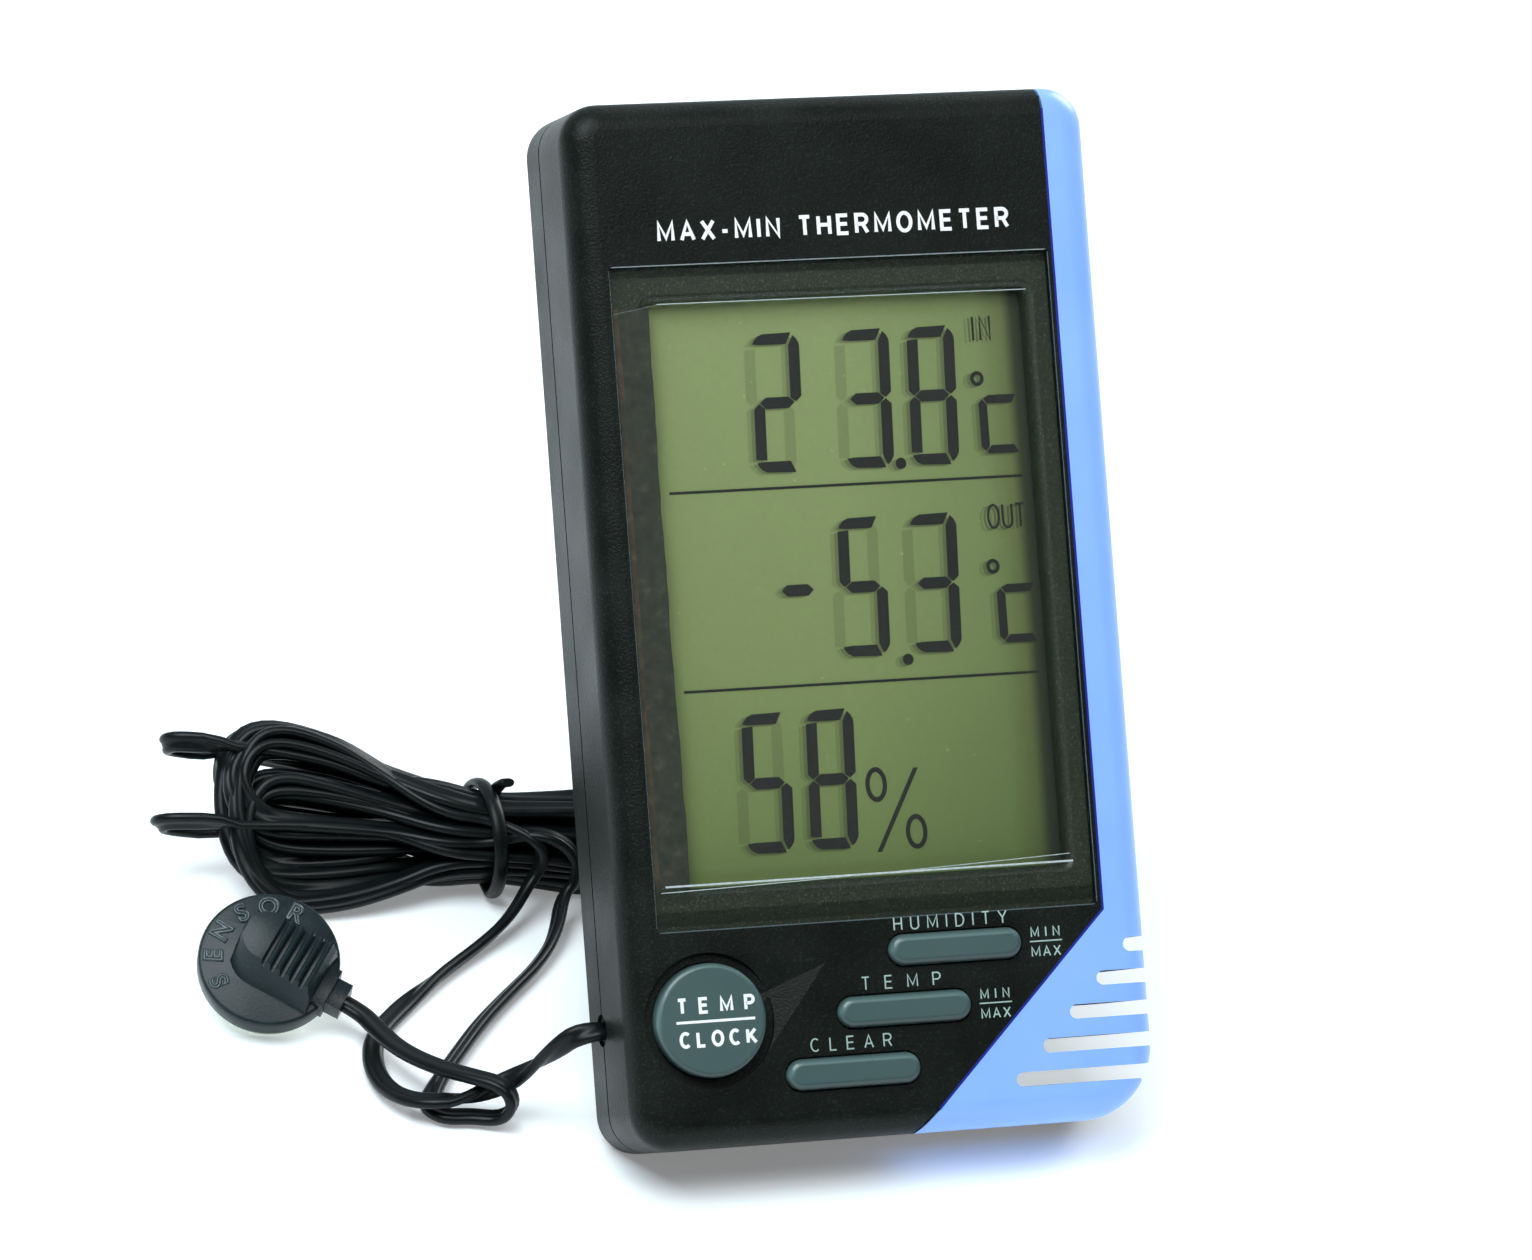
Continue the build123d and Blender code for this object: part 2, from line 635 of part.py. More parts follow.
def battery_spring():
    """The conical contact spring, as one wire wound towards the cell."""
    start = BAY[0] + FIT + CONTACT_T
    length = CELL_X - start
    path = Helix(pitch=length / 3.2, height=length - 0.7, radius=3.6, cone_angle=-12)
    wire = sweep(Plane(origin=path @ 0, z_dir=path % 0) * Circle(0.3), path=path)
    return Pos(start + 0.36, CELL_Y, CELL_Z) * Rot(0, 90, 0) * wire


def battery_door():
    """The sliding rear lid, with side tongues and thumb ridges."""
    left, right, bottom = DOOR
    door = rear_envelope() & box(left, right, bottom, HEIGHT + 1, -1, DOOR_T)
    door += box(left - TONGUE_W, right + TONGUE_W, bottom, HEIGHT - 1.8, DOOR_T - TONGUE_T, DOOR_T)
    for k in range(6):
        y = bottom + 3.0 + 1.5 * k
        door -= box(MID_X - 7, MID_X + 7, y, y + 0.7, -1, 0.35)
    return door


def hinge_height():
    """How high the stand's pin is above the floor."""
    lean_up = radians(90 - LEAN)
    return HINGE_Y * sin(lean_up) + HINGE_Z * cos(lean_up) - floor_drop()


def floor_drop():
    """How far the sharp rear bottom corner would reach below the floor."""
    lean_up = radians(90 - LEAN)
    rounded = REAR_EDGE_R * (sin(lean_up) + cos(lean_up) - 1)
    return rounded + FOOT_LAND_DEPTH


def stand_length():
    """From the pin's axis to the middle of the foot."""
    return hinge_height() / cos(radians(STAND_OPEN - LEAN))


def kickstand():
    """The fold-out leg, drawn folded and then opened, with its foot cut level with the floor."""
    half = STAND_W / 2
    stop = STAND_OPEN + 0.3
    heel = (POCKET_HINGE_DEPTH - HINGE_Z - STAND_T / 2 * cos(radians(stop))) / sin(radians(stop))
    tip = -(stand_length() + 0.6)
    leg = box(-half, half, tip, heel, -STAND_T / 2, STAND_T / 2)
    corners = leg.edges().filter_by(Axis.Z).sort_by(Axis.Y)[:2]
    leg = fillet(corners, 3.0)
    for side in (-1, 1):
        leg -= box(side * 6.5 - 1.6, side * 6.5 + 1.6, tip + 6, -8, -STAND_T, -STAND_T / 2 + 0.5)
    leg += rod_x(-half, half, 0, 0, KNUCKLE_R)
    leg -= rod_x(-half - 1, half + 1, 0, 0, PIN_R + 0.06)
    return Pos(MID_X, HINGE_Y, HINGE_Z) * Rot(STAND_OPEN, 0, 0) * leg - floor_cut()


def stand_pin():
    """The steel pin that the stand turns on."""
    return rod_x(MID_X - PIN_LENGTH / 2, MID_X + PIN_LENGTH / 2, HINGE_Y, HINGE_Z, PIN_R)


def cable_grommet():
    """The soft bush in the case's side that the lead comes out of."""
    collar = WALL + 0.1
    bush = rod_x(GROMMET_IN, collar + 0.1, EXIT_Y, EXIT_Z, EXIT_R - HOLE_FIT)
    bush += rod_x(collar, GROMMET_END, EXIT_Y, EXIT_Z, EXIT_R + 0.9)
    return bush - Pos(LEAD_START - 5, EXIT_Y, EXIT_Z) * Rot(0, 90, 0) * prism(
        SlotOverall(2.1, 2 * LEAD_R + 0.06, rotation=90), 0, 5 + GROMMET_END)


def lead_inner_wires():
    """The lead's two cores from the grommet to the board's rear."""
    cores = []
    start = GROMMET_END
    for side in (-0.6, 0.6):
        y = EXIT_Y + side
        route = FilletPolyline((start, y, EXIT_Z), (start + 3.4, y, EXIT_Z),
                               (start + 6.0, y + 3.0, BOARD_Z - 1.4), (start + 6.0, y + 3.0, BOARD_Z), radius=0.9)
        cores.append(sweep(Plane(origin=route @ 0, z_dir=route % 0) * Circle(0.45), path=route).solid())
    return Compound(cores)


def placing():
    """Leans the case back on its stand and sets the object's middle over the origin."""
    turn = Rot(90 - LEAN, 0, 0)
    lean_up = radians(90 - LEAN)
    front = CENTRE_EDGE_R * cos(lean_up) - (DEPTH - CENTRE_EDGE_R) * sin(lean_up) - CENTRE_EDGE_R
    back = (HEIGHT - REAR_EDGE_R) * cos(lean_up) - REAR_EDGE_R * sin(lean_up) + REAR_EDGE_R
    return Pos(-WIDTH / 2, -(front + back) / 2, -floor_drop()) * turn


def sensor_plane():
    """Where the outdoor sensor lies, resting on its lower edge."""
    return Plane(origin=SENSOR_AT, x_dir=SENSOR_LEAD_WAY, z_dir=SENSOR_NORMAL)


def sensor_pad():
    """The pale ring on the sensor's underside."""
    pad = column((0, 0), PAD_R, 0, PAD_T)
    return fillet(pad.faces().sort_by(Axis.Z)[0].edges(), 0.3)


def sensor_boss():
    """The raised housing over the bead, higher at its outer end."""
    foot = Pos(-0.4, -0.5, DISC_TOP) * SlotOverall(12.0, 7.4)
    top = Pos(-0.6, 0.4, BOSS_TOP) * SlotOverall(9.6, 4.6)
    boss = loft([foot.face(), top.face()])
    for k in range(5):
        boss -= box(-1.7 + 1.25 * k, -1.1 + 1.25 * k, -2.0, 3.0, BOSS_TOP - 0.45, BOSS_TOP + 1)
    return boss


def sensor_shell():
    """The outdoor sensor's moulded disc, with its raised housing and square lead exit."""
    disc = column((0, 0), DISC_R, PAD_T, DISC_TOP)
    disc = fillet(disc.edges().filter_by(GeomType.CIRCLE), 0.35)
    disc += sensor_boss()
    disc += box(5.6, 8.0, -2.4, 2.4, PAD_T + 0.2, DISC_TOP + 0.9)
    disc += box(7.0, RELIEF_END, -1.75, 1.75, PAD_T + 0.1, DISC_TOP + 0.2)
    disc -= rod_x(RELIEF_END - RELIEF_BORE, RELIEF_END + 1, 0, RELIEF_Z, LEAD_R + HOLE_FIT)
    return disc - sensor_cavity()


def sensor_cavity():
    """The hollow in the sensor that the bead sits in."""
    return rod_x(-4.2, 6.0, 0, RELIEF_Z + 0.2, 1.15)


def sensor_thermistor():
    """The outdoor temperature bead."""
    return rod_x(-3.6, 1.4, 0, RELIEF_Z + 0.2, 1.0)


def turning(a, b, c):
    """The turn at b in radians, on the way from a to c."""
    return radians((Vector(b) - Vector(a)).get_angle(Vector(c) - Vector(b)))


def lead_tube(route, name):
    """A round tube along straight runs joined by tangent arcs."""
    radii = []
    for a, b, c in zip(route, route[1:], route[2:]):
        shorter = min((Vector(b) - Vector(a)).length, (Vector(c) - Vector(b)).length)
        radii.append(ARC_SHARE * shorter / tan(turning(a, b, c) / 2))
    path = FilletPolyline(*route, radius=radii)
    tube = sweep(Plane(origin=path @ 0, z_dir=path % 0) * Circle(LEAD_R), path=path)
    volume = pi * LEAD_R ** 2 * path.length
    print(name, "length", round(path.length, 1), "volume", round(tube.volume, 1), "of", round(volume, 1),
          "radii", [round(r, 1) for r in radii])
    return tube


def lead_device_leg():
    """The lead from the grommet to the hank."""
    start = (placing() * Pos(LEAD_START, EXIT_Y, EXIT_Z)).position
    return lead_tube([tuple(start), *DEVICE_LEG], "device leg")


def lead_sensor_leg():
    """The lead from the sensor to the hank, folded back once under itself."""
    start = (sensor_plane().location * Pos(RELIEF_END - RELIEF_BORE, 0, RELIEF_Z)).position
    return lead_tube([tuple(start), *SENSOR_LEG], "sensor leg")


def lead_hank():
    """The wound length of lead, thin at the tie and fanned out at its open end."""
    rings = [Plane(origin=(x, y, z), x_dir=(0, 1, 0), z_dir=(1, 0, 0)) * Ellipse(half_y, half_z)
             for x, y, z, half_y, half_z in HANK]
    body = loft([ring.face() for ring in rings], ruled=True)
    x, y, z = TIE_AT
    groove = rod_x(x - TIE_W / 2 - 0.05, x + TIE_W / 2 + 0.05, y, z, 12.0)
    groove -= rod_x(x - TIE_W, x + TIE_W, y, z, TIE_R)
    body -= groove
    return body - Pos(0, 0, -50) * Box(300, 300, 100)


def hank_tie():
    """The band round the hank, with its twisted ends on top."""
    x, y, z = TIE_AT
    band = rod_x(x - TIE_W / 2, x + TIE_W / 2, y, z, TIE_R + TIE_T) - rod_x(x - TIE_W, x + TIE_W, y, z, TIE_R + FIT)
    knot = Pos(x, y + 1.0, z + TIE_R + TIE_T + 0.85) * Rot(0, 90, 20) * Cylinder(0.75, 3.4)
    return band + knot


def in_case():
    """Every piece drawn in the case's own frame."""
    pieces = {
        "front_shell": front_shell(),
        "vent_trim": vent_trim(),
        "rear_cover": rear_cover(),
        "display_lens": display_lens(),
        "display_bezel": display_bezel(),
        "lcd_front_glass": lcd_front_glass(),
        "lcd_rear_glass": lcd_rear_glass(),
        "lcd_reflector": lcd_reflector(),
        "zebra_strips": zebra_strips(),
        "circuit_board": circuit_board(),
        "controller_blob": controller_blob(),
        "watch_crystal": watch_crystal(),
        "board_components": board_components(),
        "board_screws": board_screws(),
        "case_screws": case_screws(),
        "key_switches": key_switches(),
        "humidity_sensor": humidity_sensor(),
        "room_thermistor": room_thermistor(),
        "unit_switch_body": unit_switch_body(),
        "unit_switch_knob": unit_switch_knob(),
        "battery_cell": battery_cell(),
        "battery_contact_positive": battery_contact_positive(),
        "battery_contact_negative": battery_contact_negative(),
        "battery_spring": battery_spring(),
        "battery_door": battery_door(),
        "kickstand": kickstand(),
        "stand_pin": stand_pin(),
        "cable_grommet": cable_grommet(),
        "lead_inner_wires": lead_inner_wires(),
        "button_temp_clock": round_button(ROUND_AT),
    }
    for name, at in BAR_AT.items():
        pieces["button_" + name] = bar_button(at)
    for name, at in button_places().items():
        pieces["plunger_" + name] = switch_plunger(at)
    return pieces


def on_sensor():
    """Every piece drawn in the outdoor sensor's own frame."""
    return {
        "sensor_shell": sensor_shell(),
        "sensor_pad": sensor_pad(),
        "sensor_thermistor": sensor_thermistor(),
    }


def on_floor():
    """Every piece drawn where it lies."""
    return {
        "lead_device_leg": lead_device_leg(),
        "lead_sensor_leg": lead_sensor_leg(),
        "lead_hank": lead_hank(),
        "hank_tie": hank_tie(),
    }


os.makedirs("parts", exist_ok=True)
placed = {name: placing() * shape for name, shape in in_case().items()}
placed.update({name: sensor_plane().location * shape for name, shape in on_sensor().items()})
placed.update(on_floor())
for node, shape in placed.items():
    export_step(shape, f"parts/{node}.step")
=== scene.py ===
import json
import random
from math import cos, hypot, pi, radians, sin

import bmesh
import bpy
from mathutils import Matrix, Vector


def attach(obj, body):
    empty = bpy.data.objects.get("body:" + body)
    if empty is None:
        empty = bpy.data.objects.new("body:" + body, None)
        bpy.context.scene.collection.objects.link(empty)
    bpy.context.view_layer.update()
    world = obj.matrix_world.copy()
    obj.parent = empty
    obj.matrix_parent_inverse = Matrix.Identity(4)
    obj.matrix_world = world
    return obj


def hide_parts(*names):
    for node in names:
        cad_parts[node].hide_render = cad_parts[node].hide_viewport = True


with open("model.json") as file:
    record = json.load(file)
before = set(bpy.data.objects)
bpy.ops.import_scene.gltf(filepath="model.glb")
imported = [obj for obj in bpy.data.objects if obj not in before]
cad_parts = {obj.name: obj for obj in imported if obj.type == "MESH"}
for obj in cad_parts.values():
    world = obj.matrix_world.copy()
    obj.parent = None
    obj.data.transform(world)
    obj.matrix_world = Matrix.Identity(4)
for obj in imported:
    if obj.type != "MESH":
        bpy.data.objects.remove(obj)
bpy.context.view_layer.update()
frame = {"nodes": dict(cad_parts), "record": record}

MM = 0.001

# The case's own frame: x to the right, y up the face, z out of the face, leaning back on its stand
LEAN = radians(34)
HINGE_IN_CASE = Vector((29.0, 58.0, 1.55)) * MM
STAND_HINGE = next(j for j in frame["record"]["behaviour"]["joints"] if j["name"] == "stand_hinge")
CASE_TURN = Matrix.Rotation(pi / 2 - LEAN, 4, "X")
CASE = Matrix.Translation(Vector(STAND_HINGE["pos_m"]) - CASE_TURN.to_3x3() @ HINGE_IN_CASE) @ CASE_TURN

# Heights above the case's rear face, in millimetres
FACE_Z = 16.0
LENS_Z = 15.85
KEY_TOP_Z = 16.9
GLASS_FRONT_Z = 12.6

# Left, right, bottom and top: the window, its raised middle, the display's toned area, its glass, the ledge
WINDOW = (3.65, 52.4, 22.75, 92.55)
LENS_STEP = (4.9, 50.3, 27.4, 88.4)
SHEET = (6.3, 50.9, 27.1, 88.9)
GLASS = (6.0, 51.2, 24.9, 91.1)
VIEW_LEDGE = (4.05, 7.75, 27.5, 88.2)
LEDGE_Z = LENS_Z - 0.97
LEDGE_RIM_W = 0.62

# The edge of the blue trim: straight down the face to a corner, then slanting to its foot
TRIM_X, TRIM_CORNER_Y, TRIM_FOOT_X = 52.93, 22.2, 33.13

# Display figures: cell size, segment thickness, gap and slope, lit segments, each one's left and bottom
FIG_W, FIG_H = 5.3, 14.8
SEG_T = 1.22
SEG_GAP = 0.13
FIG_SLOPE = 0.03
FIGURES = {"2": "abged", "3": "abgcd", "5": "afgcd", "8": "abcdefg"}
FIGURE_ROWS = [
    ("2", 19.3, 70.4), ("3", 29.3, 70.4), ("8", 36.6, 70.4),
    ("5", 27.3, 50.5), ("3", 35.3, 50.5),
    ("5", 15.1, 30.4), ("8", 22.2, 30.4),
]

# Printed words on the face: each one's left, right, baseline and cap line, and the MIN over MAX bars
FACE_WORDS = [
    ("HUMIDITY", (29.5, 42.15, 21.35, 22.8)),
    ("TEMP", (25.5, 34.3, 15.35, 16.8)),
    ("CLEAR", (19.4, 28.4, 9.3, 10.75)),
]
MIN_MAX_AT = [(44.6, 19.25), (38.5, 13.12)]
FACE_STROKE, KEY_STROKE = 0.15, 0.35

# The outdoor sensor's own frame: its pad's underside at the origin, its lead leaving along x
SENSOR_AT = Vector((-57.3, 7.87, 4.37)) * MM
SENSOR_NORMAL = Vector((-0.146, -0.573, 0.806)).normalized()
SENSOR_LEAD_WAY = Vector((0.790, -0.555, -0.260))
DISC_R = 7.65
DISC_STEPS = 96
DISC_LOW_Z, DISC_TOP_Z = 1.1, 3.8
LETTER_RING_R = 5.9
BOSS_TOP_Z = 8.0

# Camera
CAMERA_AT = Vector((-0.28323, -0.74152, 0.48906))
CAMERA_WAY = Vector((0.30366, 0.81894, -0.48696))
CAMERA_UP = Vector((0.05434, 0.49538, 0.86698))
LENS_MM = 201.0

# The lead: a flat twin, 2.3 x 1.2 mm
CORE_R = 0.59
CORE_APART = 0.57
LEAD_WIDTH = 2.3
LEAD_EXIT = (-28.6, -21.33, 13.04)
DEVICE_LEG = [
    (-31.6, -21.33, 13.03), (-33.6, -20.2, 10.2), (-35.1, -17.8, 6.6),
    (-37.7, -16.3, 3.8), (-41.4, -17.1, 3.05), (-45.1, -17.5, 3.05),
    (-47.9, -15.2, 2.2), (-49.1, -10.9, 1.2), (-49.0, -6.0, 1.0),
    (-47.4, -1.0, 1.0), (-43.3, 4.0, 1.0), (-37.0, 10.3, 1.0),
    (-31.0, 15.4, 1.2), (-26.8, 19.0, 2.2), (-23.9, 22.4, 4.2),
]
SENSOR_LEG = [
    (-48.81, 0.23, 3.455), (-47.9, -3.1, 3.3), (-46.7, -8.0, 3.7),
    (-44.2, -12.9, 4.5), (-41.5, -16.3, 5.3), (-38.2, -19.0, 5.6),
    (-37.1, -19.8, 3.4), (-38.2, -18.9, 1.2), (-41.3, -17.5, 0.97),
    (-44.2, -17.4, 1.0), (-45.3, -14.8, 0.97), (-42.8, -10.4, 1.0),
    (-39.3, -5.4, 0.97), (-35.5, -0.1, 1.0), (-31.0, 5.2, 0.97),
    (-26.0, 10.6, 1.0), (-22.6, 15.4, 1.6), (-20.6, 20.6, 3.6),
]
LEAD_LOW_Z = 0.75

# The hank's middle line (x, y, z), with the bundle's spread across and up there
HANK_LINE = [
    (17.5, 28.6, 6.3, 1.0, 1.05),
    (4.0, 28.2, 6.2, 1.2, 1.1),
    (-15.0, 27.4, 5.9, 1.25, 1.1),
    (-21.5, 28.3, 6.2, 1.05, 1.0),
    (-27.5, 29.0, 6.35, 0.93, 0.93),
    (-33.0, 30.2, 6.7, 1.15, 1.15),
]
HANK_END_X, HANK_END_Y, HANK_END_Z = 26.5, 28.6, 6.4
FOLD_HALF = 2.9

# The fan at the hank's left: its middle, its tilt, and the share it has opened by at each x
FAN_MIDDLE = Vector((-49.0, 35.4, 7.9))
FAN_TILT = radians(35)
FAN_SPREAD = ((-38.0, 0.6), (-44.0, 0.88), (-50.6, 1.0))

# The open turns at the hank's left: up and out for each turn's upper and lower side, tip x, tip lift
FANS = [
    (8.9, -2.6, -11.3, -4.7, -55.4, 0.0),
    (3.4, -3.6, -10.4, -4.0, -54.6, 0.0),
    (6.4, -2.6, 5.8, 3.2, -61.8, 1.7),
    (7.9, -1.8, -2.6, -3.4, -55.6, 0.0),
    (2.3, -3.2, -9.4, -3.0, -54.6, 0.0),
    (9.6, -0.2, -8.6, -1.0, -56.2, 0.0),
    (-1.9, -4.2, -2.5, 1.6, -63.6, 1.2),
    (6.6, -2.0, -4.2, -2.6, -54.4, 0.0),
    (1.5, -2.6, -7.2, -2.0, -55.2, 0.0),
    (9.2, 1.6, -0.6, 0.6, -55.8, 0.0),
    (4.0, -0.8, -5.8, -1.6, -55.0, 0.0),
    (6.6, 2.8, -3.4, 1.4, -54.8, 0.0),
    (1.4, 2.4, -5.4, 0.4, -55.4, 0.0),
    (7.3, -3.0, -1.6, -4.4, -54.6, 0.0),
]
ENTRY_CELL = Vector((0, -2.7, 3.8))
LEAVING_CELL = Vector((0, -4.1, 2.2))
TIE_AT = Vector((-27.5, 29.0, 6.35))
TIE_R = 6.1
TIE_STEPS = 56

# The bundle inside the tie: its rows of runs, their spacing, and the circle that they fill
BUNDLE_ROWS = 9
BUNDLE_R = 5.6
ROW_STEP = 1.2
ROW_SHIFT = 0.3
RUN_STEP = 2.34

# Light: the floor's faint glow, and the surround as (y of the direction, strength) at its two ends
FLOOR_GLOW = 0.22
SURROUND_FROM, SURROUND_TO = (-0.15, 0.07), (0.7, 0.62)


# Materials

def shader(name, color, roughness, metallic=0.0, **sockets):
    """A new principled material, with its uniform sockets set on the shader."""
    made = bpy.data.materials.new(name)
    made.use_nodes = True
    main = made.node_tree.nodes["Principled BSDF"]
    main.inputs["Base Color"].default_value = (*color, 1)
    main.inputs["Roughness"].default_value = roughness
    main.inputs["Metallic"].default_value = metallic
    for label, value in sockets.items():
        main.inputs[label.replace("_", " ")].default_value = value
    made.diffuse_color = (*color, 1)
    return made


def node(made, kind, **settings):
    """A node in a material's tree, with its inputs and properties set by name."""
    new = made.node_tree.nodes.new(kind)
    for label, value in settings.items():
        if label in new.inputs:
            new.inputs[label].default_value = value
        else:
            setattr(new, label, value)
    return new


def link(made, out, into):
    made.node_tree.links.new(out, into)


def noise(made, scale, detail=2.0):
    """Noise in the object's own space."""
    place = node(made, "ShaderNodeTexCoord")
    texture = node(made, "ShaderNodeTexNoise", Scale=scale, Detail=detail)
    link(made, place.outputs["Object"], texture.inputs["Vector"])
    return texture.outputs["Fac"]


def ramp(made, factor, stops):
    """A colour ramp over (place, colour) stops."""
    new = node(made, "ShaderNodeValToRGB")
    for _ in stops[2:]:
        new.color_ramp.elements.new(0.5)
    for element, (place, color) in zip(new.color_ramp.elements, stops):
        element.position = place
        element.color = (*color, 1)
    link(made, factor, new.inputs["Fac"])
    return new.outputs["Color"]


def spread(made, factor, low, high):
    """A factor moved to run from low to high."""
    ends = {"From Min": 0.3, "From Max": 0.7, "To Min": low, "To Max": high}
    new = node(made, "ShaderNodeMapRange", **ends)
    link(made, factor, new.inputs["Value"])
    return new.outputs["Result"]


def bump(made, height, depth_mm, strength=0.5):
    """Relief from a height factor."""
    new = node(made, "ShaderNodeBump", Strength=strength, Distance=depth_mm * MM)
    link(made, height, new.inputs["Height"])
    link(made, new.outputs["Normal"], made.node_tree.nodes["Principled BSDF"].inputs["Normal"])


def multiply(made, first, second):
    """Two colours multiplied."""
    mix = node(made, "ShaderNodeMix", data_type="RGBA", blend_type="MULTIPLY")
    mix.inputs["Factor"].default_value = 1.0
    link(made, first, mix.inputs[6])
    link(made, second, mix.inputs[7])
    return mix.outputs[2]


def moulded(name, dark, light, roughness, grain_mm=0.3, depth_mm=0.03, patch_mm=9.0, painted_glints=0.0, **sockets):
    """Moulded plastic or rubber: a fine grain, paler specks as painted glints where asked, and broad patches
    of tone and gloss.
    """
    made = shader(name, dark, roughness, **sockets)
    main = made.node_tree.nodes["Principled BSDF"]
    patches = noise(made, 1 / (patch_mm * MM), 4.0)
    grain = noise(made, 1 / (grain_mm * MM), 3.0)
    tone = ramp(made, patches, [(0.32, dark), (0.7, light)])
    # Paler specks on the grain: painted glints, standing for light caught on the grain.
    if painted_glints:
        pale = ramp(made, grain, [(0.54, (1, 1, 1)), (0.7, (painted_glints, painted_glints, painted_glints))])
        tone = multiply(made, tone, pale)
    link(made, tone, main.inputs["Base Color"])
    link(made, spread(made, patches, roughness - 0.05, roughness + 0.06), main.inputs["Roughness"])
    bump(made, grain, depth_mm)
    return made


def speckled(name, dark, light, speck, roughness, grain_mm, depth_mm):
    """Spark-eroded plastic: a coarse grain with small glints."""
    made = shader(name, dark, roughness)
    main = made.node_tree.nodes["Principled BSDF"]
    fine = noise(made, 1 / (grain_mm * MM), 4.0)
    stops = [(0.35, dark), (0.6, light), (0.74, speck)]
    link(made, ramp(made, fine, stops), main.inputs["Base Color"])
    bump(made, fine, depth_mm, 0.7)
    return made


def clear(name, color, alpha, roughness=0.05):
    """Clear plastic or glass, thin enough to look straight through, with faint dust."""
    made = shader(name, color, roughness, Alpha=alpha)
    main = made.node_tree.nodes["Principled BSDF"]
    dust = noise(made, 1 / (0.6 * MM), 2.0)
    link(made, spread(made, dust, alpha * 0.8, alpha * 1.2), main.inputs["Alpha"])
    return made


def painted_edge_light_shade(made):
    """Painted light on rounded edges: paler on those turned up the face as a painted highlight, darker on
    those turned down it as painted shade.
    """
    main = made.node_tree.nodes["Principled BSDF"]
    tone = main.inputs["Base Color"].links[0].from_socket
    surface = node(made, "ShaderNodeNewGeometry")
    facing = node(made, "ShaderNodeVectorMath", operation="DOT_PRODUCT")
    facing.inputs[1].default_value = CASE_TURN.to_3x3() @ Vector((-0.3, 0.95, 0))
    link(made, surface.outputs["Normal"], facing.inputs[0])
    half = node(made, "ShaderNodeMath", operation="MULTIPLY_ADD")
    half.inputs[1].default_value = 0.5
    half.inputs[2].default_value = 0.5
    link(made, facing.outputs["Value"], half.inputs[0])
    # Painted shade where an edge faces down the face, painted highlight where it faces up it.
    stops = [(0.1, 0.3), (0.42, 0.8), (0.5, 1.0), (0.62, 1.7), (0.9, 0.9)]
    variation = ramp(made, half.outputs["Value"], [(place, (grey, grey, grey)) for place, grey in stops])
    link(made, multiply(made, tone, variation), main.inputs["Base Color"])
    return made


def metal(name, color, roughness):
    """Plated or drawn metal with a little unevenness."""
    made = shader(name, color, roughness, metallic=1.0)
    main = made.node_tree.nodes["Principled BSDF"]
    variation = noise(made, 1 / (0.8 * MM), 3.0)
    link(made, spread(made, variation, roughness - 0.06, roughness + 0.1), main.inputs["Roughness"])
    return made


def display_ground(name, shade):
    """The display's grey-green ground: painted paler at the top, a painted shadow of the bezel's right wall,
    brown then black by its right edge, and dust; shade darkens it for the figures' painted shadows.
    """
    made = shader(name, (0.2, 0.26, 0.11), 0.55)
    main = made.node_tree.nodes["Principled BSDF"]
    place = node(made, "ShaderNodeTexCoord")
    apart = node(made, "ShaderNodeSeparateXYZ")
    link(made, place.outputs["Object"], apart.inputs["Vector"])
    up = node(made, "ShaderNodeMapRange", **{"From Min": SHEET[2] * MM, "From Max": SHEET[3] * MM})
    link(made, apart.outputs["Y"], up.inputs["Value"])
    across = node(made, "ShaderNodeMapRange", **{"From Min": SHEET[0] * MM, "From Max": SHEET[1] * MM})
    link(made, apart.outputs["X"], across.inputs["Value"])
    # Painted light: the ground paler towards the top.
    tone = ramp(made, up.outputs["Result"], [(0.0, (0.135, 0.19, 0.052)), (0.4, (0.215, 0.272, 0.094)),
                                             (1.0, (0.262, 0.325, 0.124))])
    # Painted shadow of the bezel's right wall: brown, then black by the right edge.
    edge = ramp(made, across.outputs["Result"], [(0.0, (1.0, 0.98, 0.9)), (0.1, (1, 1, 1)), (0.5, (1, 1, 1)),
                                                 (0.86, (0.76, 0.8, 0.74)), (0.93, (0.5, 0.5, 0.42)),
                                                 (0.955, (0.1, 0.11, 0.08)), (0.975, (0.05, 0.055, 0.04))])
    specks = noise(made, 1 / (0.7 * MM), 1.0)
    # Dust specks, and elsewhere the shade factor, which darkens the plates of the figures' painted shadows.
    dust = ramp(made, specks, [(0.74, (shade, shade, shade)), (0.82, (1.5, 1.4, 1.5))])
    link(made, multiply(made, multiply(made, tone, edge), dust), main.inputs["Base Color"])
    bump(made, noise(made, 1 / (0.15 * MM)), 0.01, 0.3)
    return made


def case_materials():
    """The case, its trim and the frame round the display."""
    black, dark = (0.0036, 0.0054, 0.004), (0.0072, 0.0098, 0.0078)
    return {
        # The case and stand get paler specks on their grain as painted glints.
        "case": moulded("case_black", black, dark, 0.36, grain_mm=0.24, depth_mm=0.12, painted_glints=2.6, IOR=1.25),
        "stand": moulded("stand_black", black, dark, 0.45, grain_mm=0.35, depth_mm=0.08, painted_glints=3.0, IOR=1.3),
        "trim": moulded("trim_blue", (0.25, 0.45, 0.93), (0.27, 0.48, 0.96), 0.38, grain_mm=0.5,
                        depth_mm=0.006),
        # Deep blue painted shade for the groove between the trim and the front shell.
        "trim_gap_shade": moulded("deep_blue_gap_shade", (0.002, 0.006, 0.2), (0.004, 0.012, 0.28), 0.45,
                             depth_mm=0.005),
        "bezel": speckled("bezel_olive", (0.0085, 0.014, 0.0062), (0.021, 0.03, 0.015), (0.075, 0.088, 0.056),
                          0.42, 0.24, 0.05),
        "ledge": speckled("ledge_olive", (0.014, 0.018, 0.01), (0.026, 0.03, 0.017), (0.05, 0.048, 0.032),
                          0.5, 1.2, 0.03),
        "ledge_rim": speckled("ledge_brown", (0.03, 0.024, 0.01), (0.062, 0.045, 0.02), (0.1, 0.07, 0.035),
                              0.5, 1.6, 0.02),
    }


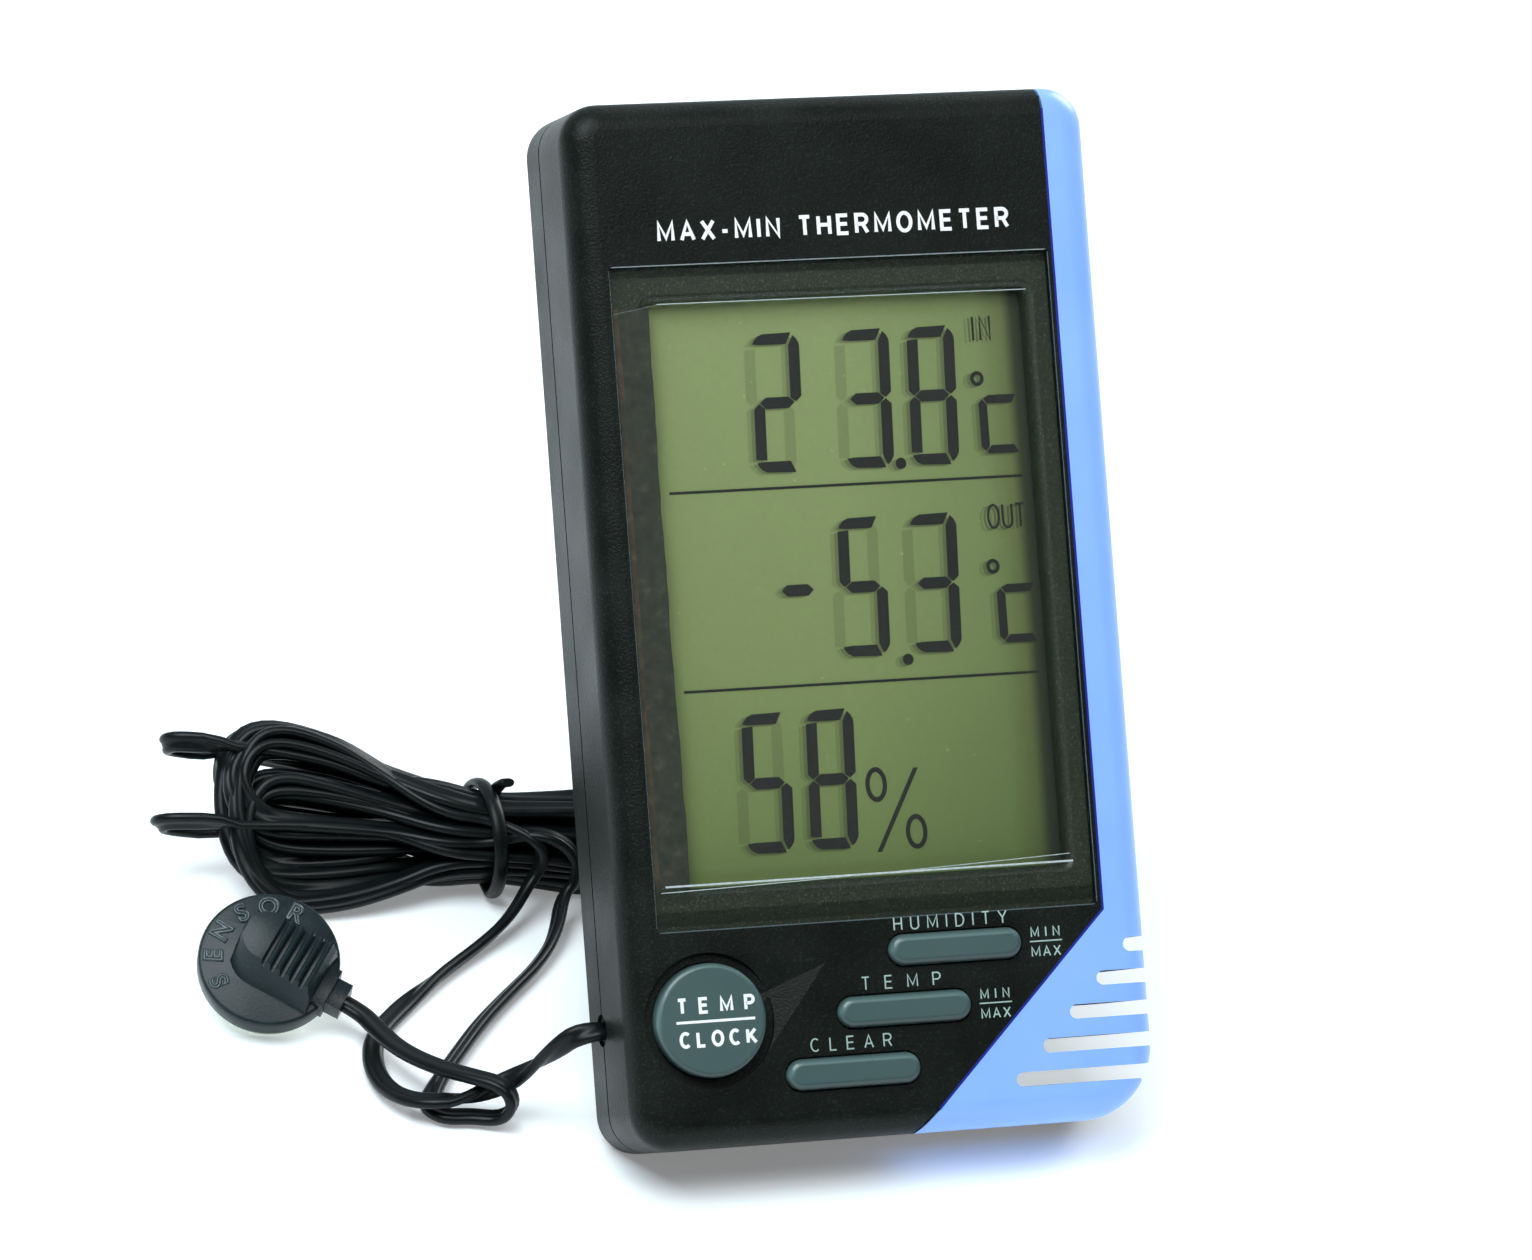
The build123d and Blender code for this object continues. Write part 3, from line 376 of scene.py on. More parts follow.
def display_materials():
    """The window, the display behind it and the printed words."""
    return {
        "lens": clear("lens_clear", (0.02, 0.03, 0.03), 0.05),
        # Pale see-through paint for the painted highlights on the window's edges.
        "lens_highlight": clear("highlight_clear_paint", (0.62, 0.7, 0.72), 0.7, 0.12),
        "lens_faint_highlight": clear("lens_faint_highlight", (0.2, 0.27, 0.3), 0.4, 0.12),
        "glass": clear("lcd_glass_clear", (0.1, 0.12, 0.07), 0.03),
        "lcd": display_ground("lcd_ground", 1.0),
        # Painted shadows of the figures: darker copies of the display's ground.
        "figure_shadow_sharp": display_ground("lcd_shade", 0.52),
        "figure_shadow_soft": display_ground("lcd_shade_soft", 0.78),
        "reflector": moulded("reflector_grey", (0.3, 0.32, 0.28), (0.36, 0.38, 0.34), 0.4, depth_mm=0.005),
        "segment": moulded("segment_black", (0.006, 0.0065, 0.004), (0.012, 0.012, 0.008), 0.6,
                           depth_mm=0.004),
        "print": moulded("print_grey", (0.34, 0.48, 0.44), (0.4, 0.55, 0.5), 0.6, depth_mm=0.004),
        "print_white": moulded("print_white", (0.86, 0.88, 0.88), (0.93, 0.94, 0.94), 0.55, depth_mm=0.004),
    }


def soft_materials():
    """The keys, the lead, the sensor and the rubber pieces."""
    return {
        # The keys' rounded edges carry a painted highlight above and painted shade below.
        "key": painted_edge_light_shade(moulded("key_slate", (0.056, 0.097, 0.095), (0.062, 0.105, 0.103), 0.27,
                                  grain_mm=0.4, depth_mm=0.012, patch_mm=30.0)),
        "lead": moulded("lead_black", (0.003, 0.0045, 0.005), (0.006, 0.0085, 0.009), 0.34, grain_mm=0.5,
                        depth_mm=0.012, patch_mm=5.0, IOR=1.3),
        "tie": moulded("tie_black", (0.003, 0.0045, 0.0045), (0.006, 0.0085, 0.0085), 0.38, depth_mm=0.02,
                       IOR=1.3),
        # The sensor also gets paler specks on its grain as painted glints.
        "sensor": moulded("sensor_slate", (0.009, 0.0165, 0.0185), (0.0145, 0.025, 0.0275), 0.3, grain_mm=0.3,
                          depth_mm=0.03, patch_mm=4.0, painted_glints=1.5, IOR=1.3),
        # The raised letters are a paler copy of the sensor's slate: a painted highlight for the light on
        # their edges.
        "letters": moulded("letters_painted_highlight", (0.03, 0.05, 0.055), (0.042, 0.066, 0.072), 0.26,
                           depth_mm=0.01, IOR=1.45),
        "pad": moulded("pad_pale", (0.5, 0.58, 0.46), (0.62, 0.68, 0.55), 0.7, depth_mm=0.03),
        "rubber": moulded("rubber_black", (0.008, 0.008, 0.008), (0.02, 0.02, 0.02), 0.6),
    }


def inner_materials():
    """What the case holds."""
    return {
        "board": moulded("board_green", (0.01, 0.09, 0.03), (0.02, 0.14, 0.05), 0.35, depth_mm=0.01),
        "resin": moulded("resin_black", (0.006, 0.006, 0.006), (0.012, 0.012, 0.012), 0.15, depth_mm=0.01),
        "ceramic": moulded("ceramic_tan", (0.3, 0.22, 0.12), (0.42, 0.33, 0.2), 0.5, depth_mm=0.01),
        "switch": moulded("switch_black", (0.02, 0.02, 0.02), (0.035, 0.035, 0.035), 0.4, depth_mm=0.01),
        "plunger": moulded("plunger_red", (0.28, 0.02, 0.015), (0.36, 0.04, 0.03), 0.4, depth_mm=0.01),
        "white": moulded("sensor_white", (0.62, 0.63, 0.6), (0.72, 0.73, 0.7), 0.5, depth_mm=0.01),
        "zebra": moulded("zebra_grey", (0.3, 0.3, 0.29), (0.5, 0.5, 0.48), 0.7, grain_mm=0.1, depth_mm=0.02),
        "core": moulded("core_grey", (0.3, 0.3, 0.3), (0.4, 0.4, 0.4), 0.4, depth_mm=0.01),
        "steel": metal("steel_bright", (0.6, 0.6, 0.58), 0.3),
        "cell": moulded("cell_jacket", (0.02, 0.045, 0.02), (0.03, 0.06, 0.03), 0.25, patch_mm=20.0,
                        depth_mm=0.005),
    }


MAT = {**case_materials(), **display_materials(), **soft_materials(), **inner_materials()}
NODE_MATERIALS = {
    "case": ["front_shell", "rear_cover", "battery_door"],
    "trim": ["vent_trim"],
    "stand": ["kickstand"],
    "lens": ["display_lens"],
    "bezel": ["display_bezel"],
    "glass": ["lcd_rear_glass"],
    "reflector": ["lcd_reflector"],
    "zebra": ["zebra_strips"],
    "board": ["circuit_board"],
    "resin": ["controller_blob", "room_thermistor", "sensor_thermistor"],
    "steel": ["watch_crystal", "board_screws", "case_screws", "unit_switch_body", "battery_contact_positive",
              "battery_contact_negative", "battery_spring", "stand_pin"],
    "ceramic": ["board_components"],
    "switch": ["key_switches", "unit_switch_knob"],
    "white": ["humidity_sensor"],
    "cell": ["battery_cell"],
    "rubber": ["cable_grommet"],
    "core": ["lead_inner_wires"],
    "key": ["button_temp_clock", "button_humidity", "button_temp", "button_clear"],
    "plunger": ["plunger_temp_clock", "plunger_humidity", "plunger_temp", "plunger_clear"],
    "pad": ["sensor_pad"],
}


def finish_cad_nodes():
    """Gives every carried-over CAD node its material."""
    for kind, names in NODE_MATERIALS.items():
        for name in names:
            mesh = frame["nodes"][name].data
            mesh.materials.clear()
            mesh.materials.append(MAT[kind])


# Small mesh helpers

def linked(name, data):
    """A new object in the scene."""
    new = bpy.data.objects.new(name, data)
    bpy.context.scene.collection.objects.link(new)
    return new


def add_object(name, mesh, kind, body, place=None):
    """A new piece with its material, in its place and riding on its body."""
    new = linked(name, mesh)
    mesh.materials.clear()
    mesh.materials.append(MAT[kind])
    if place is not None:
        new.matrix_world = place
    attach(new, body)
    return new


def mesh_from(bm, name):
    """A mesh from a bmesh in millimetres."""
    bmesh.ops.scale(bm, vec=(MM, MM, MM), verts=bm.verts)
    bmesh.ops.recalc_face_normals(bm, faces=bm.faces)
    mesh = bpy.data.meshes.new(name)
    bm.to_mesh(mesh)
    bm.free()
    return mesh


def join_loops(bm, loops):
    """Faces from each loop of points to the next one."""
    for a, b in zip(loops, loops[1:]):
        for k in range(len(a)):
            n = (k + 1) % len(a)
            bm.faces.new((a[k], a[n], b[n], b[k]))


def plate(bm, corners, z0, z1):
    """A flat plate over an outline, from z0 to z1."""
    low = [bm.verts.new((x, y, z0)) for x, y in corners]
    high = [bm.verts.new((x, y, z1)) for x, y in corners]
    bm.faces.new(high)
    bm.faces.new(list(reversed(low)))
    join_loops(bm, [low, high])


def ring(bm, at, outer, inner, z0, z1, steps=40):
    """An oval ring plate. outer and inner are half widths and half heights."""
    turns = [2 * pi * k / steps for k in range(steps)]
    loops = []
    for (rx, ry), z in ((outer, z0), (outer, z1), (inner, z1), (inner, z0)):
        loops.append([bm.verts.new((at[0] + rx * cos(t), at[1] + ry * sin(t), z)) for t in turns])
    join_loops(bm, loops + loops[:1])


def disc_points(at, radius, steps=28):
    """Points round a circle."""
    turns = [2 * pi * k / steps for k in range(steps)]
    return [(at[0] + radius * cos(turn), at[1] + radius * sin(turn)) for turn in turns]


def bow(cx, cy, rx, ry, start, stop, steps=10):
    """Points along part of an oval, in a letter's own cell of height 1."""
    turns = [radians(start + (stop - start) * k / steps) for k in range(steps + 1)]
    return [(cx + rx * cos(t), cy + ry * sin(t)) for t in turns]


def add_on_case(bm, name, kind, body="case"):
    """A new piece from a bmesh in the case's own frame, with its material slot."""
    new = add_object(name, mesh_from(bm, name), kind, body, CASE)
    return new


# Plain strokes for each letter: its width, then its lines, in a cell of height 1
LETTERS = {
    "A": (0.7, [[(0, 0), (0.35, 1), (0.7, 0)], [(0.13, 0.32), (0.57, 0.32)]]),
    "C": (0.68, [bow(0.36, 0.5, 0.36, 0.5, 48, 312, 18)]),
    "D": (0.66, [[(0, 0), (0, 1), *bow(0.26, 0.5, 0.4, 0.5, 90, -90), (0, 0)]]),
    "E": (0.56, [[(0.56, 1), (0, 1), (0, 0), (0.57, 0)], [(0, 0.52), (0.52, 0.52)]]),
    "H": (0.64, [[(0, 0), (0, 1)], [(0.64, 0), (0.64, 1)], [(0, 0.52), (0.64, 0.52)]]),
    "I": (0.0, [[(0, 0), (0, 1)]]),
    "K": (0.62, [[(0, 0), (0, 1)], [(0.6, 1), (0, 0.36)], [(0.2, 0.57), (0.63, 0)]]),
    "L": (0.52, [[(0, 1), (0, 0), (0.52, 0)]]),
    "M": (0.8, [[(0, 0), (0, 1), (0.4, 0.14), (0.8, 1), (0.8, 0)]]),
    "N": (0.64, [[(0, 0), (0, 1), (0.64, 0), (0.64, 1)]]),
    "O": (0.74, [bow(0.37, 0.5, 0.37, 0.5, 0, 360, 24)]),
    "P": (0.6, [[(0, 0), (0, 1), *bow(0.34, 0.73, 0.26, 0.27, 90, -90, 8), (0, 0.46)]]),
    "R": (0.63, [[(0, 0), (0, 1), *bow(0.35, 0.74, 0.26, 0.26, 90, -90, 8), (0, 0.48)],
                 [(0.36, 0.48), (0.62, 0)]]),
    "T": (0.6, [[(0, 1), (0.6, 1)], [(0.3, 1), (0.3, 0)]]),
    "U": (0.64, [[(0, 1), (0, 0.3), *bow(0.32, 0.3, 0.32, 0.3, 190, 350), (0.64, 0.3), (0.64, 1)]]),
    "X": (0.66, [[(0, 0), (0.66, 1)], [(0.66, 0), (0, 1)]]),
    "Y": (0.66, [[(0, 1), (0.33, 0.45), (0.66, 1)], [(0.33, 0.45), (0.33, 0)]]),
    "-": (0.3, [[(0, 0.4), (0.3, 0.4)]]),
    " ": (0.22, []),
}


def stroke(bm, line, half, z0, z1):
    """A flat line of even width, with its corners mitred."""
    closed = hypot(line[0][0] - line[-1][0], line[0][1] - line[-1][1]) < 1e-6
    points = [Vector(p) for p in (line[:-1] if closed else line)]
    count = len(points)
    rails = []
    for k, here in enumerate(points):
        before = points[k - 1] if closed or k else None
        after = points[(k + 1) % count] if closed or k < count - 1 else None
        into = (here - before).normalized() if before else (after - here).normalized()
        away = (after - here).normalized() if after else into
        normal = Vector((-into.y, into.x)) + Vector((-away.y, away.x))
        normal.normalize()
        reach = half / max(0.62, normal.dot(Vector((-into.y, into.x))))
        rails.append([bm.verts.new((*(here + normal * reach * side), z)) for side, z in
                      ((1, z0), (1, z1), (-1, z1), (-1, z0))])
    join_loops(bm, rails + rails[:1] if closed else rails)
    if not closed:
        bm.faces.new(rails[0])
        bm.faces.new(list(reversed(rails[-1])))


def words(bm, text, box, z, thick, wide=1.0, raised=0.02):
    """Lettering that fills a box (left, right, baseline, cap line), in strokes this thick."""
    left, right, low, high = box
    half = thick / 2
    tall = high - low - thick
    widths = [LETTERS[letter][0] * tall * wide for letter in text]
    gap = (right - left - thick - sum(widths)) / (len(text) - 1)
    x = left + half
    for letter, width in zip(text, widths):
        for n, line in enumerate(LETTERS[letter][1]):
            placed = [(x + px * tall * wide, low + half + py * tall) for px, py in line]
            stroke(bm, placed, half, z, z + raised - 0.002 * n)
        x += width + gap


def route(points):
    """A NURBS spline's line through control points in millimetres, as points in metres."""
    curve = bpy.data.curves.new("route", "CURVE")
    curve.dimensions = "3D"
    spline = curve.splines.new("NURBS")
    spline.points.add(len(points) - 1)
    for point, place in zip(spline.points, points):
        point.co = (*[value * MM for value in place], 1)
    spline.order_u = 3
    spline.use_endpoint_u = True
    curve.resolution_u = 5
    holder = bpy.data.objects.new("route", curve)
    line = bpy.data.meshes.new_from_object(holder)
    found = [v.co.copy() for v in line.vertices]
    bpy.data.objects.remove(holder)
    bpy.data.meshes.remove(line)
    bpy.data.curves.remove(curve)
    return found


def twin_section():
    """The flat twin's outline: two cores side by side with a groove between them."""
    points = []
    for side in (1, -1):
        for k in range(9):
            turn = radians(-128 + 32 * k)
            points.append((side * (CORE_APART + CORE_R * cos(turn)), side * CORE_R * sin(turn)))
    return [Vector(p) * MM for p in points]


def flat_sides(line, roll):
    """For each point of a line, the way that the flat side faces across it, easing along the line."""
    along = [0.0]
    for a, b in zip(line, line[1:]):
        along.append(along[-1] + (b - a).length)
    sides = []
    last = None
    for k, here in enumerate(line):
        way = (line[min(k + 1, len(line) - 1)] - line[max(k - 1, 0)]).normalized()
        level = way.cross(Vector((0, 0, 1)))
        if last is not None:
            level = level if level.dot(last) >= 0 else -level
            carried = (last - way * last.dot(way)).normalized()
            level = carried.lerp(level.normalized(), 0.12 * min(1.0, level.length * 1.5))
        last = (level - way * level.dot(way)).normalized()
        sides.append(Matrix.Rotation(roll(along[k], along[-1] - along[k], here), 3, way) @ last)
    return sides


def sweep(name, line, section, roll):
    """A closed-ended tube of a section along a line, kept off the table."""
    bm = bmesh.new()
    rings = []
    for k, (here, side) in enumerate(zip(line, flat_sides(line, roll))):
        way = (line[min(k + 1, len(line) - 1)] - line[max(k - 1, 0)]).normalized()
        up = way.cross(side)
        loop = [here + side * p.x + up * p.y for p in section]
        rings.append([bm.verts.new((p.x, p.y, max(p.z, 0.02 * MM))) for p in loop])
    join_loops(bm, rings)
    bm.faces.new(rings[0])
    bm.faces.new(list(reversed(rings[-1])))
    bmesh.ops.recalc_face_normals(bm, faces=bm.faces)
    mesh = bpy.data.meshes.new(name)
    bm.to_mesh(mesh)
    bm.free()
    for face in mesh.polygons:
        face.use_smooth = len(face.vertices) == 4
    return mesh


# Camera, lights and floor

def make_camera():
    """The photo's camera, solved from the case's edges."""
    camera = linked("camera", bpy.data.cameras.new("camera"))
    way = CAMERA_WAY.normalized()
    right = way.cross(CAMERA_UP).normalized()
    up = right.cross(way)
    turn = Matrix((right, up, -way)).transposed().to_4x4()
    camera.matrix_world = Matrix.Translation(CAMERA_AT) @ turn
    camera.data.lens = LENS_MM
    camera.data.sensor_width = 36
    camera.data.clip_end = 20
    bpy.context.scene.camera = camera


def soft_light(name, place, size, power, color=(1, 1, 1)):
    """A square soft box aimed at the object."""
    data = bpy.data.lights.new(name, "AREA")
    data.size = size
    data.energy = power
    data.color = color
    light = linked(name, data)
    aim = (Vector(place) - Vector((0, 0, 0.04))).to_track_quat("Z", "Y")
    light.matrix_world = Matrix.Translation(place) @ aim.to_matrix().to_4x4()


def make_studio():
    """A pale floor, a pale surround and three soft boxes."""
    bm = bmesh.new()
    plate(bm, [(-3000, -3000), (3000, -3000), (3000, 3000), (-3000, 3000)], -2.0, -0.02)
    floor = linked("floor", mesh_from(bm, "floor"))
    glow = {"Emission Color": (1, 1, 1, 1), "Emission Strength": FLOOR_GLOW}
    floor.data.materials.append(shader("floor_pale", (0.88, 0.94, 0.97), 0.9, **glow))
    world = bpy.data.worlds.new("studio")
    world.use_nodes = True
    tree = world.node_tree
    place = tree.nodes.new("ShaderNodeTexCoord")
    apart = tree.nodes.new("ShaderNodeSeparateXYZ")
    tree.links.new(place.outputs["Generated"], apart.inputs["Vector"])
    depth = tree.nodes.new("ShaderNodeMapRange")
    depth.inputs["From Min"].default_value, depth.inputs["To Min"].default_value = SURROUND_FROM
    depth.inputs["From Max"].default_value, depth.inputs["To Max"].default_value = SURROUND_TO
    tree.links.new(apart.outputs["Y"], depth.inputs["Value"])
    tree.nodes["Background"].inputs["Color"].default_value = (0.78, 0.93, 1.0, 1)
    tree.links.new(depth.outputs["Result"], tree.nodes["Background"].inputs["Strength"])
    bpy.context.scene.world = world
    soft_light("over", (-0.45, -0.26, 1.2), 0.8, 17, (0.88, 0.96, 1.0))
    soft_light("right", (1.0, 0.75, 0.6), 0.7, 13)
    soft_light("front", (0.1, -0.62, 1.0), 0.35, 2.5)
    bpy.context.scene.view_settings.view_transform = "Standard"


# The lead

def bundle_cells():
    """Places for the lead's runs through the tie, stacked in level rows inside a circle."""
    cells = []
    for row in range(BUNDLE_ROWS):
        z = (row - BUNDLE_ROWS // 2) * ROW_STEP
        half = (BUNDLE_R ** 2 - z ** 2) ** 0.5 - 0.5
        count = int(2 * half / LEAD_WIDTH)
        shift = ROW_SHIFT if row % 2 else -ROW_SHIFT
        for k in range(count):
            cells.append(Vector((0, (k - (count - 1) / 2) * RUN_STEP + shift, z)))
    return cells


def take_nearest(cells, wanted):
    """Takes the free cell nearest to a place out of the list."""
    cell = min(cells, key=lambda c: (c - wanted).length)
    cells.remove(cell)
    return cell


def hank_run(rng, cell, fan):
    """One run of the lead, from the hank's right end through the tie to its fanned-out left."""
    run = []
    for x, y, z, across, up in HANK_LINE:
        wander = Vector((0, rng.uniform(-0.25, 0.25), rng.uniform(-0.2, 0.2)))
        run.append(Vector((x, y, z)) + Vector((0, cell.y * across, cell.z * up)) + wander)
    for x, share in FAN_SPREAD:
        along = min(1, (x - TIE_AT.x) / (FAN_MIDDLE.x - TIE_AT.x))
        line_y = TIE_AT.y + (FAN_MIDDLE.y - TIE_AT.y) * along
        line_z = TIE_AT.z + (FAN_MIDDLE.z - TIE_AT.z) * along
        spread_out = fan * share + cell * (0.35 * (1 - share))
        run.append(Vector((x + rng.uniform(-0.6, 0.6), line_y, line_z)) + spread_out)
    return run


def tip_at(middle, reach, side, tip_x, lift):
    """One point round an open turn's left end."""
    tip = FAN_MIDDLE + middle + reach * side + lift
    tip.x = tip_x + (1.3 if side else 0.0)
    return tip


def fold_points(rng, first, second):
    """Points round one fold at the hank's right end, from one run's cell to the next one's."""
    between = second - first
    along = between.normalized() if between.length > 0.5 else Vector((0, 0, 1))
    half = max(between.length / 2, FOLD_HALF)
    middle = Vector((HANK_END_X + rng.uniform(-1.6, 0.4), HANK_END_Y, HANK_END_Z)) + (first + second) * 0.2
    shape = ((-1.0, -2.6), (-0.75, 1.3), (0.75, 1.3), (1.0, -2.6))
    return [middle + Vector((out, 0, 0)) + along * half * side for side, out in shape]


def hank_points(rng):
    """The wound length: through the tie and back, with its open turns fanned out at the left."""
    up = Vector((0, sin(FAN_TILT), cos(FAN_TILT)))
    out = Vector((0, cos(FAN_TILT), -sin(FAN_TILT)))
    free = bundle_cells()
    entry = take_nearest(free, ENTRY_CELL)
    leaving = take_nearest(free, LEAVING_CELL)
    points, cells, runs = [], [], []
    for turn, (high_up, high_out, low_up, low_out, tip_x, lift) in enumerate(FANS):
        middle = up * (high_up + low_up) / 2 + out * (high_out + low_out) / 2
        reach = up * (high_up - low_up) / 2 + out * (high_out - low_out) / 2
        first = entry if turn == 0 else take_nearest(free, (middle + reach) * 0.6)
        second = leaving if turn == len(FANS) - 1 else take_nearest(free, (middle - reach) * 0.6)
        going = hank_run(rng, first, middle + reach)
        coming = hank_run(rng, second, middle - reach)
        going = going[4:] if turn == 0 else going
        coming = coming[4:] if turn == len(FANS) - 1 else coming
        cells.append((first, second))
        tips = [tip_at(middle, reach, side, tip_x, up * lift) for side in (0.68, 0.0, -0.68)]
        runs.append((going, tips, coming))
    for turn, (going, tips, coming) in enumerate(runs):
        points += [*going, *tips, *reversed(coming)]
        if turn < len(FANS) - 1:
            points += fold_points(rng, cells[turn][1], cells[turn + 1][0])
    for point in points:
        point.z = max(point.z, LEAD_LOW_Z)
    return [tuple(p) for p in points]


def lead_roll(along, left, here):
    """How far the flat lead has turned about its own line, by the length from each of its ends."""
    twist = 2 * pi * max(0.0, 1 - along / 0.021)
    edge_on = radians(-56) * rise(along, 0.046, 0.056) * (1 - rise(along, 0.072, 0.084))
    half_on = radians(38) * rise(left, 0.036, 0.046) * (1 - rise(left, 0.074, 0.084))
    folded = radians(80) * rise(-here.x, 0.054, 0.0585)
    loose = 0.4 * sin(along * 70) + 0.3 * sin(along * 170 + 1.0)
    return twist + edge_on + half_on + folded + loose * rise(along, 0.08, 0.1) * rise(left, 0.08, 0.1)


def rise(value, start, stop):
    """A smooth step from 0 to 1."""
    share = min(1.0, max(0.0, (value - start) / (stop - start)))
    return share * share * (3 - 2 * share)


def make_lead():
    """The whole lead in one piece: from the case, through the hank, to the outdoor sensor."""
    rng = random.Random(11)
    relief = sensor_place() @ (Vector((7.9, 0, 2.4)) * MM)
    rising = [(-22.4, 22.9, 6.6), (-22.9, 23.2, 9.0)]
    falling = [(-24.2, 24.4, 9.6), (-20.8, 23.0, 9.4), (-18.7, 21.8, 7.4), (-18.9, 20.9, 4.8)]
    hank = hank_points(rng)
    points = [LEAD_EXIT, *DEVICE_LEG, *rising, *hank, *falling, *reversed(SENSOR_LEG), tuple(relief / MM)]
    line = route(points)
    lead = add_object("outdoor_lead", sweep("outdoor_lead", line, twin_section(), lead_roll), "lead", "case")
    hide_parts("lead_device_leg", "lead_sensor_leg", "lead_hank")


def make_tie():
    """The band round the hank, with its overlapping end standing up on top."""
    line = []
    for k in range(TIE_STEPS + 1):
        turn = radians(-70 + 7.2 * k)
        radius = TIE_R + 0.12 * sin(3 * turn) + 0.35 * (k / TIE_STEPS)
        drift = -0.9 + 1.8 * k / TIE_STEPS
        line.append((TIE_AT.x + drift, TIE_AT.y + radius * cos(turn), TIE_AT.z + (radius - 0.05) * sin(turn)))
    end = [(TIE_AT.x + 1.0, TIE_AT.y + 0.6, TIE_AT.z + TIE_R + 0.9),
           (TIE_AT.x + 1.9, TIE_AT.y - 0.8, TIE_AT.z + 7.4)]
    line = [p for p in line if p[2] > 0.5] + end
    section = [Vector((0.85 * cos(2 * pi * k / 12), 0.5 * sin(2 * pi * k / 12))) * MM for k in range(12)]
    path = route(line)
    band = sweep("hank_tie_band", path, section, lambda along, left, here: 0.0)
    tie = add_object("hank_tie_band", band, "tie", "case")
    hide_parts("hank_tie")


# The outdoor sensor

def sensor_place():
    """The sensor's own frame in the row's."""
    across = (SENSOR_LEAD_WAY - SENSOR_NORMAL * SENSOR_LEAD_WAY.dot(SENSOR_NORMAL)).normalized()
    side = SENSOR_NORMAL.cross(across)
    turn = Matrix((across, side, SENSOR_NORMAL)).transposed().to_4x4()
    return Matrix.Translation(SENSOR_AT) @ turn


def apply_modifiers(obj):
    """The object's mesh with its modifiers worked in."""
    deps = bpy.context.evaluated_depsgraph_get()
    done = bpy.data.meshes.new_from_object(obj.evaluated_get(deps))
    obj.modifiers.clear()
    obj.data = done


def combine(obj, tool, operation):
    """Cuts or joins one object into another."""
    change = obj.modifiers.new("change", "BOOLEAN")
    change.operation = operation
    change.object = tool
    change.solver = "EXACT"
    apply_modifiers(obj)
    bpy.data.objects.remove(tool)


def slot_outline(x0, x1, y, half, steps=14):
    """A bar's outline from x0 to x1, round at its left end."""
    turns = [pi * k / steps for k in range(steps + 1)]
    points = [(x0 + half - half * sin(turn), y + half * cos(turn)) for turn in turns]
    return [*points, (x1, y - half), (x1, y + half)]


def ribbed_profile():
    """The raised housing's side view: a flat cap, then a stair of rounded ribs."""
    top = BOSS_TOP_Z
    points = [(-3.6, 2.4), (-3.6, top - 0.2), (-3.35, top), (-0.1, top)]
    for k in range(5):
        x = 0.05 + 1.17 * k
        points += [(x, top - 0.85), (x + 0.3, top - 0.85), (x + 0.45, top - 0.2), (x + 0.68, top - 0.02),
                   (x + 0.95, top - 0.2), (x + 1.05, top - 0.85)]
        top -= 0.1
    return [*points, (6.1, top - 1.4), (6.4, 2.4)]


def lofted(bm, low, high, z0, z1):
    """A closed form from a low outline to a high one with as many points."""
    a = [bm.verts.new((*p, z0)) for p in low]
    b = [bm.verts.new((*p, z1)) for p in high]
    join_loops(bm, [a, b])
    bm.faces.new(list(reversed(a)))
    bm.faces.new(b)


def flat_disc():
    """The disc, with rounded edges."""
    bm = bmesh.new()
    edge = 0.3
    profile = [(DISC_R - edge, DISC_LOW_Z), (DISC_R, DISC_LOW_Z + edge), (DISC_R, DISC_TOP_Z - 0.45),
               (DISC_R - 0.12, DISC_TOP_Z - 0.12), (DISC_R - 0.45, DISC_TOP_Z)]
    loops = []
    for radius, z in profile:
        loops.append([bm.verts.new((*p, z)) for p in disc_points((0, 0), radius, DISC_STEPS)])
    join_loops(bm, loops)
    bm.faces.new(list(reversed(loops[0])))
    bm.faces.new(loops[-1])
    return linked("sensor_disc", mesh_from(bm, "sensor_disc"))


def ribbed_housing():
    """The ribbed housing, cut to its sloping foot."""
    stair = bmesh.new()
    plate(stair, ribbed_profile(), -5, 5)
    bmesh.ops.rotate(stair, cent=(0, 0, 0), matrix=Matrix.Rotation(pi / 2, 3, "X"), verts=stair.verts)
    housing = linked("housing", mesh_from(stair, "housing"))
    foot = bmesh.new()
    lofted(foot, slot_outline(-4.5, 6.4, -0.1, 3.9), slot_outline(-3.5, 6.3, 0.75, 2.75), DISC_TOP_Z - 0.8,
           BOSS_TOP_Z + 0.1)
    combine(housing, linked("foot", mesh_from(foot, "foot")), "INTERSECT")
    return housing


def make_sensor():
    """The sensor's moulded disc, a ribbed housing on its sloping foot, and the square lead exit."""
    disc = flat_disc()
    combine(disc, ribbed_housing(), "UNION")
    for x0, x1, half, top in ((4.6, 7.6, 2.3, 4.6), (7.0, 9.3, 1.6, 4.1)):
        relief = bmesh.new()
        plate(relief, [(x0, -half), (x1, -half), (x1, half), (x0, half)], DISC_LOW_Z + 0.2, top)
        combine(disc, linked("relief", mesh_from(relief, "relief")), "UNION")

    soften = disc.modifiers.new("soften", "BEVEL")
    soften.width = 0.13 * MM
    soften.segments = 2
    soften.limit_method = "ANGLE"
    soften.angle_limit = radians(32)
    apply_modifiers(disc)
    disc.data.materials.clear()
    disc.data.materials.append(MAT["sensor"])
    smooth_by_angle(disc.data, 35)
    disc.data.transform(sensor_place())
    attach(disc, "case")
    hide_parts("sensor_shell")
    return disc


def smooth_by_angle(mesh, degrees_limit):
    """Smooth shading, with edges sharper than the limit kept crisp."""
    bm = bmesh.new()
    bm.from_mesh(mesh)
    for face in bm.faces:
        face.smooth = True
    for edge in bm.edges:
        edge.smooth = not (edge.is_manifold and edge.calc_face_angle(0.0) > radians(degrees_limit))
    bm.to_mesh(mesh)
    bm.free()


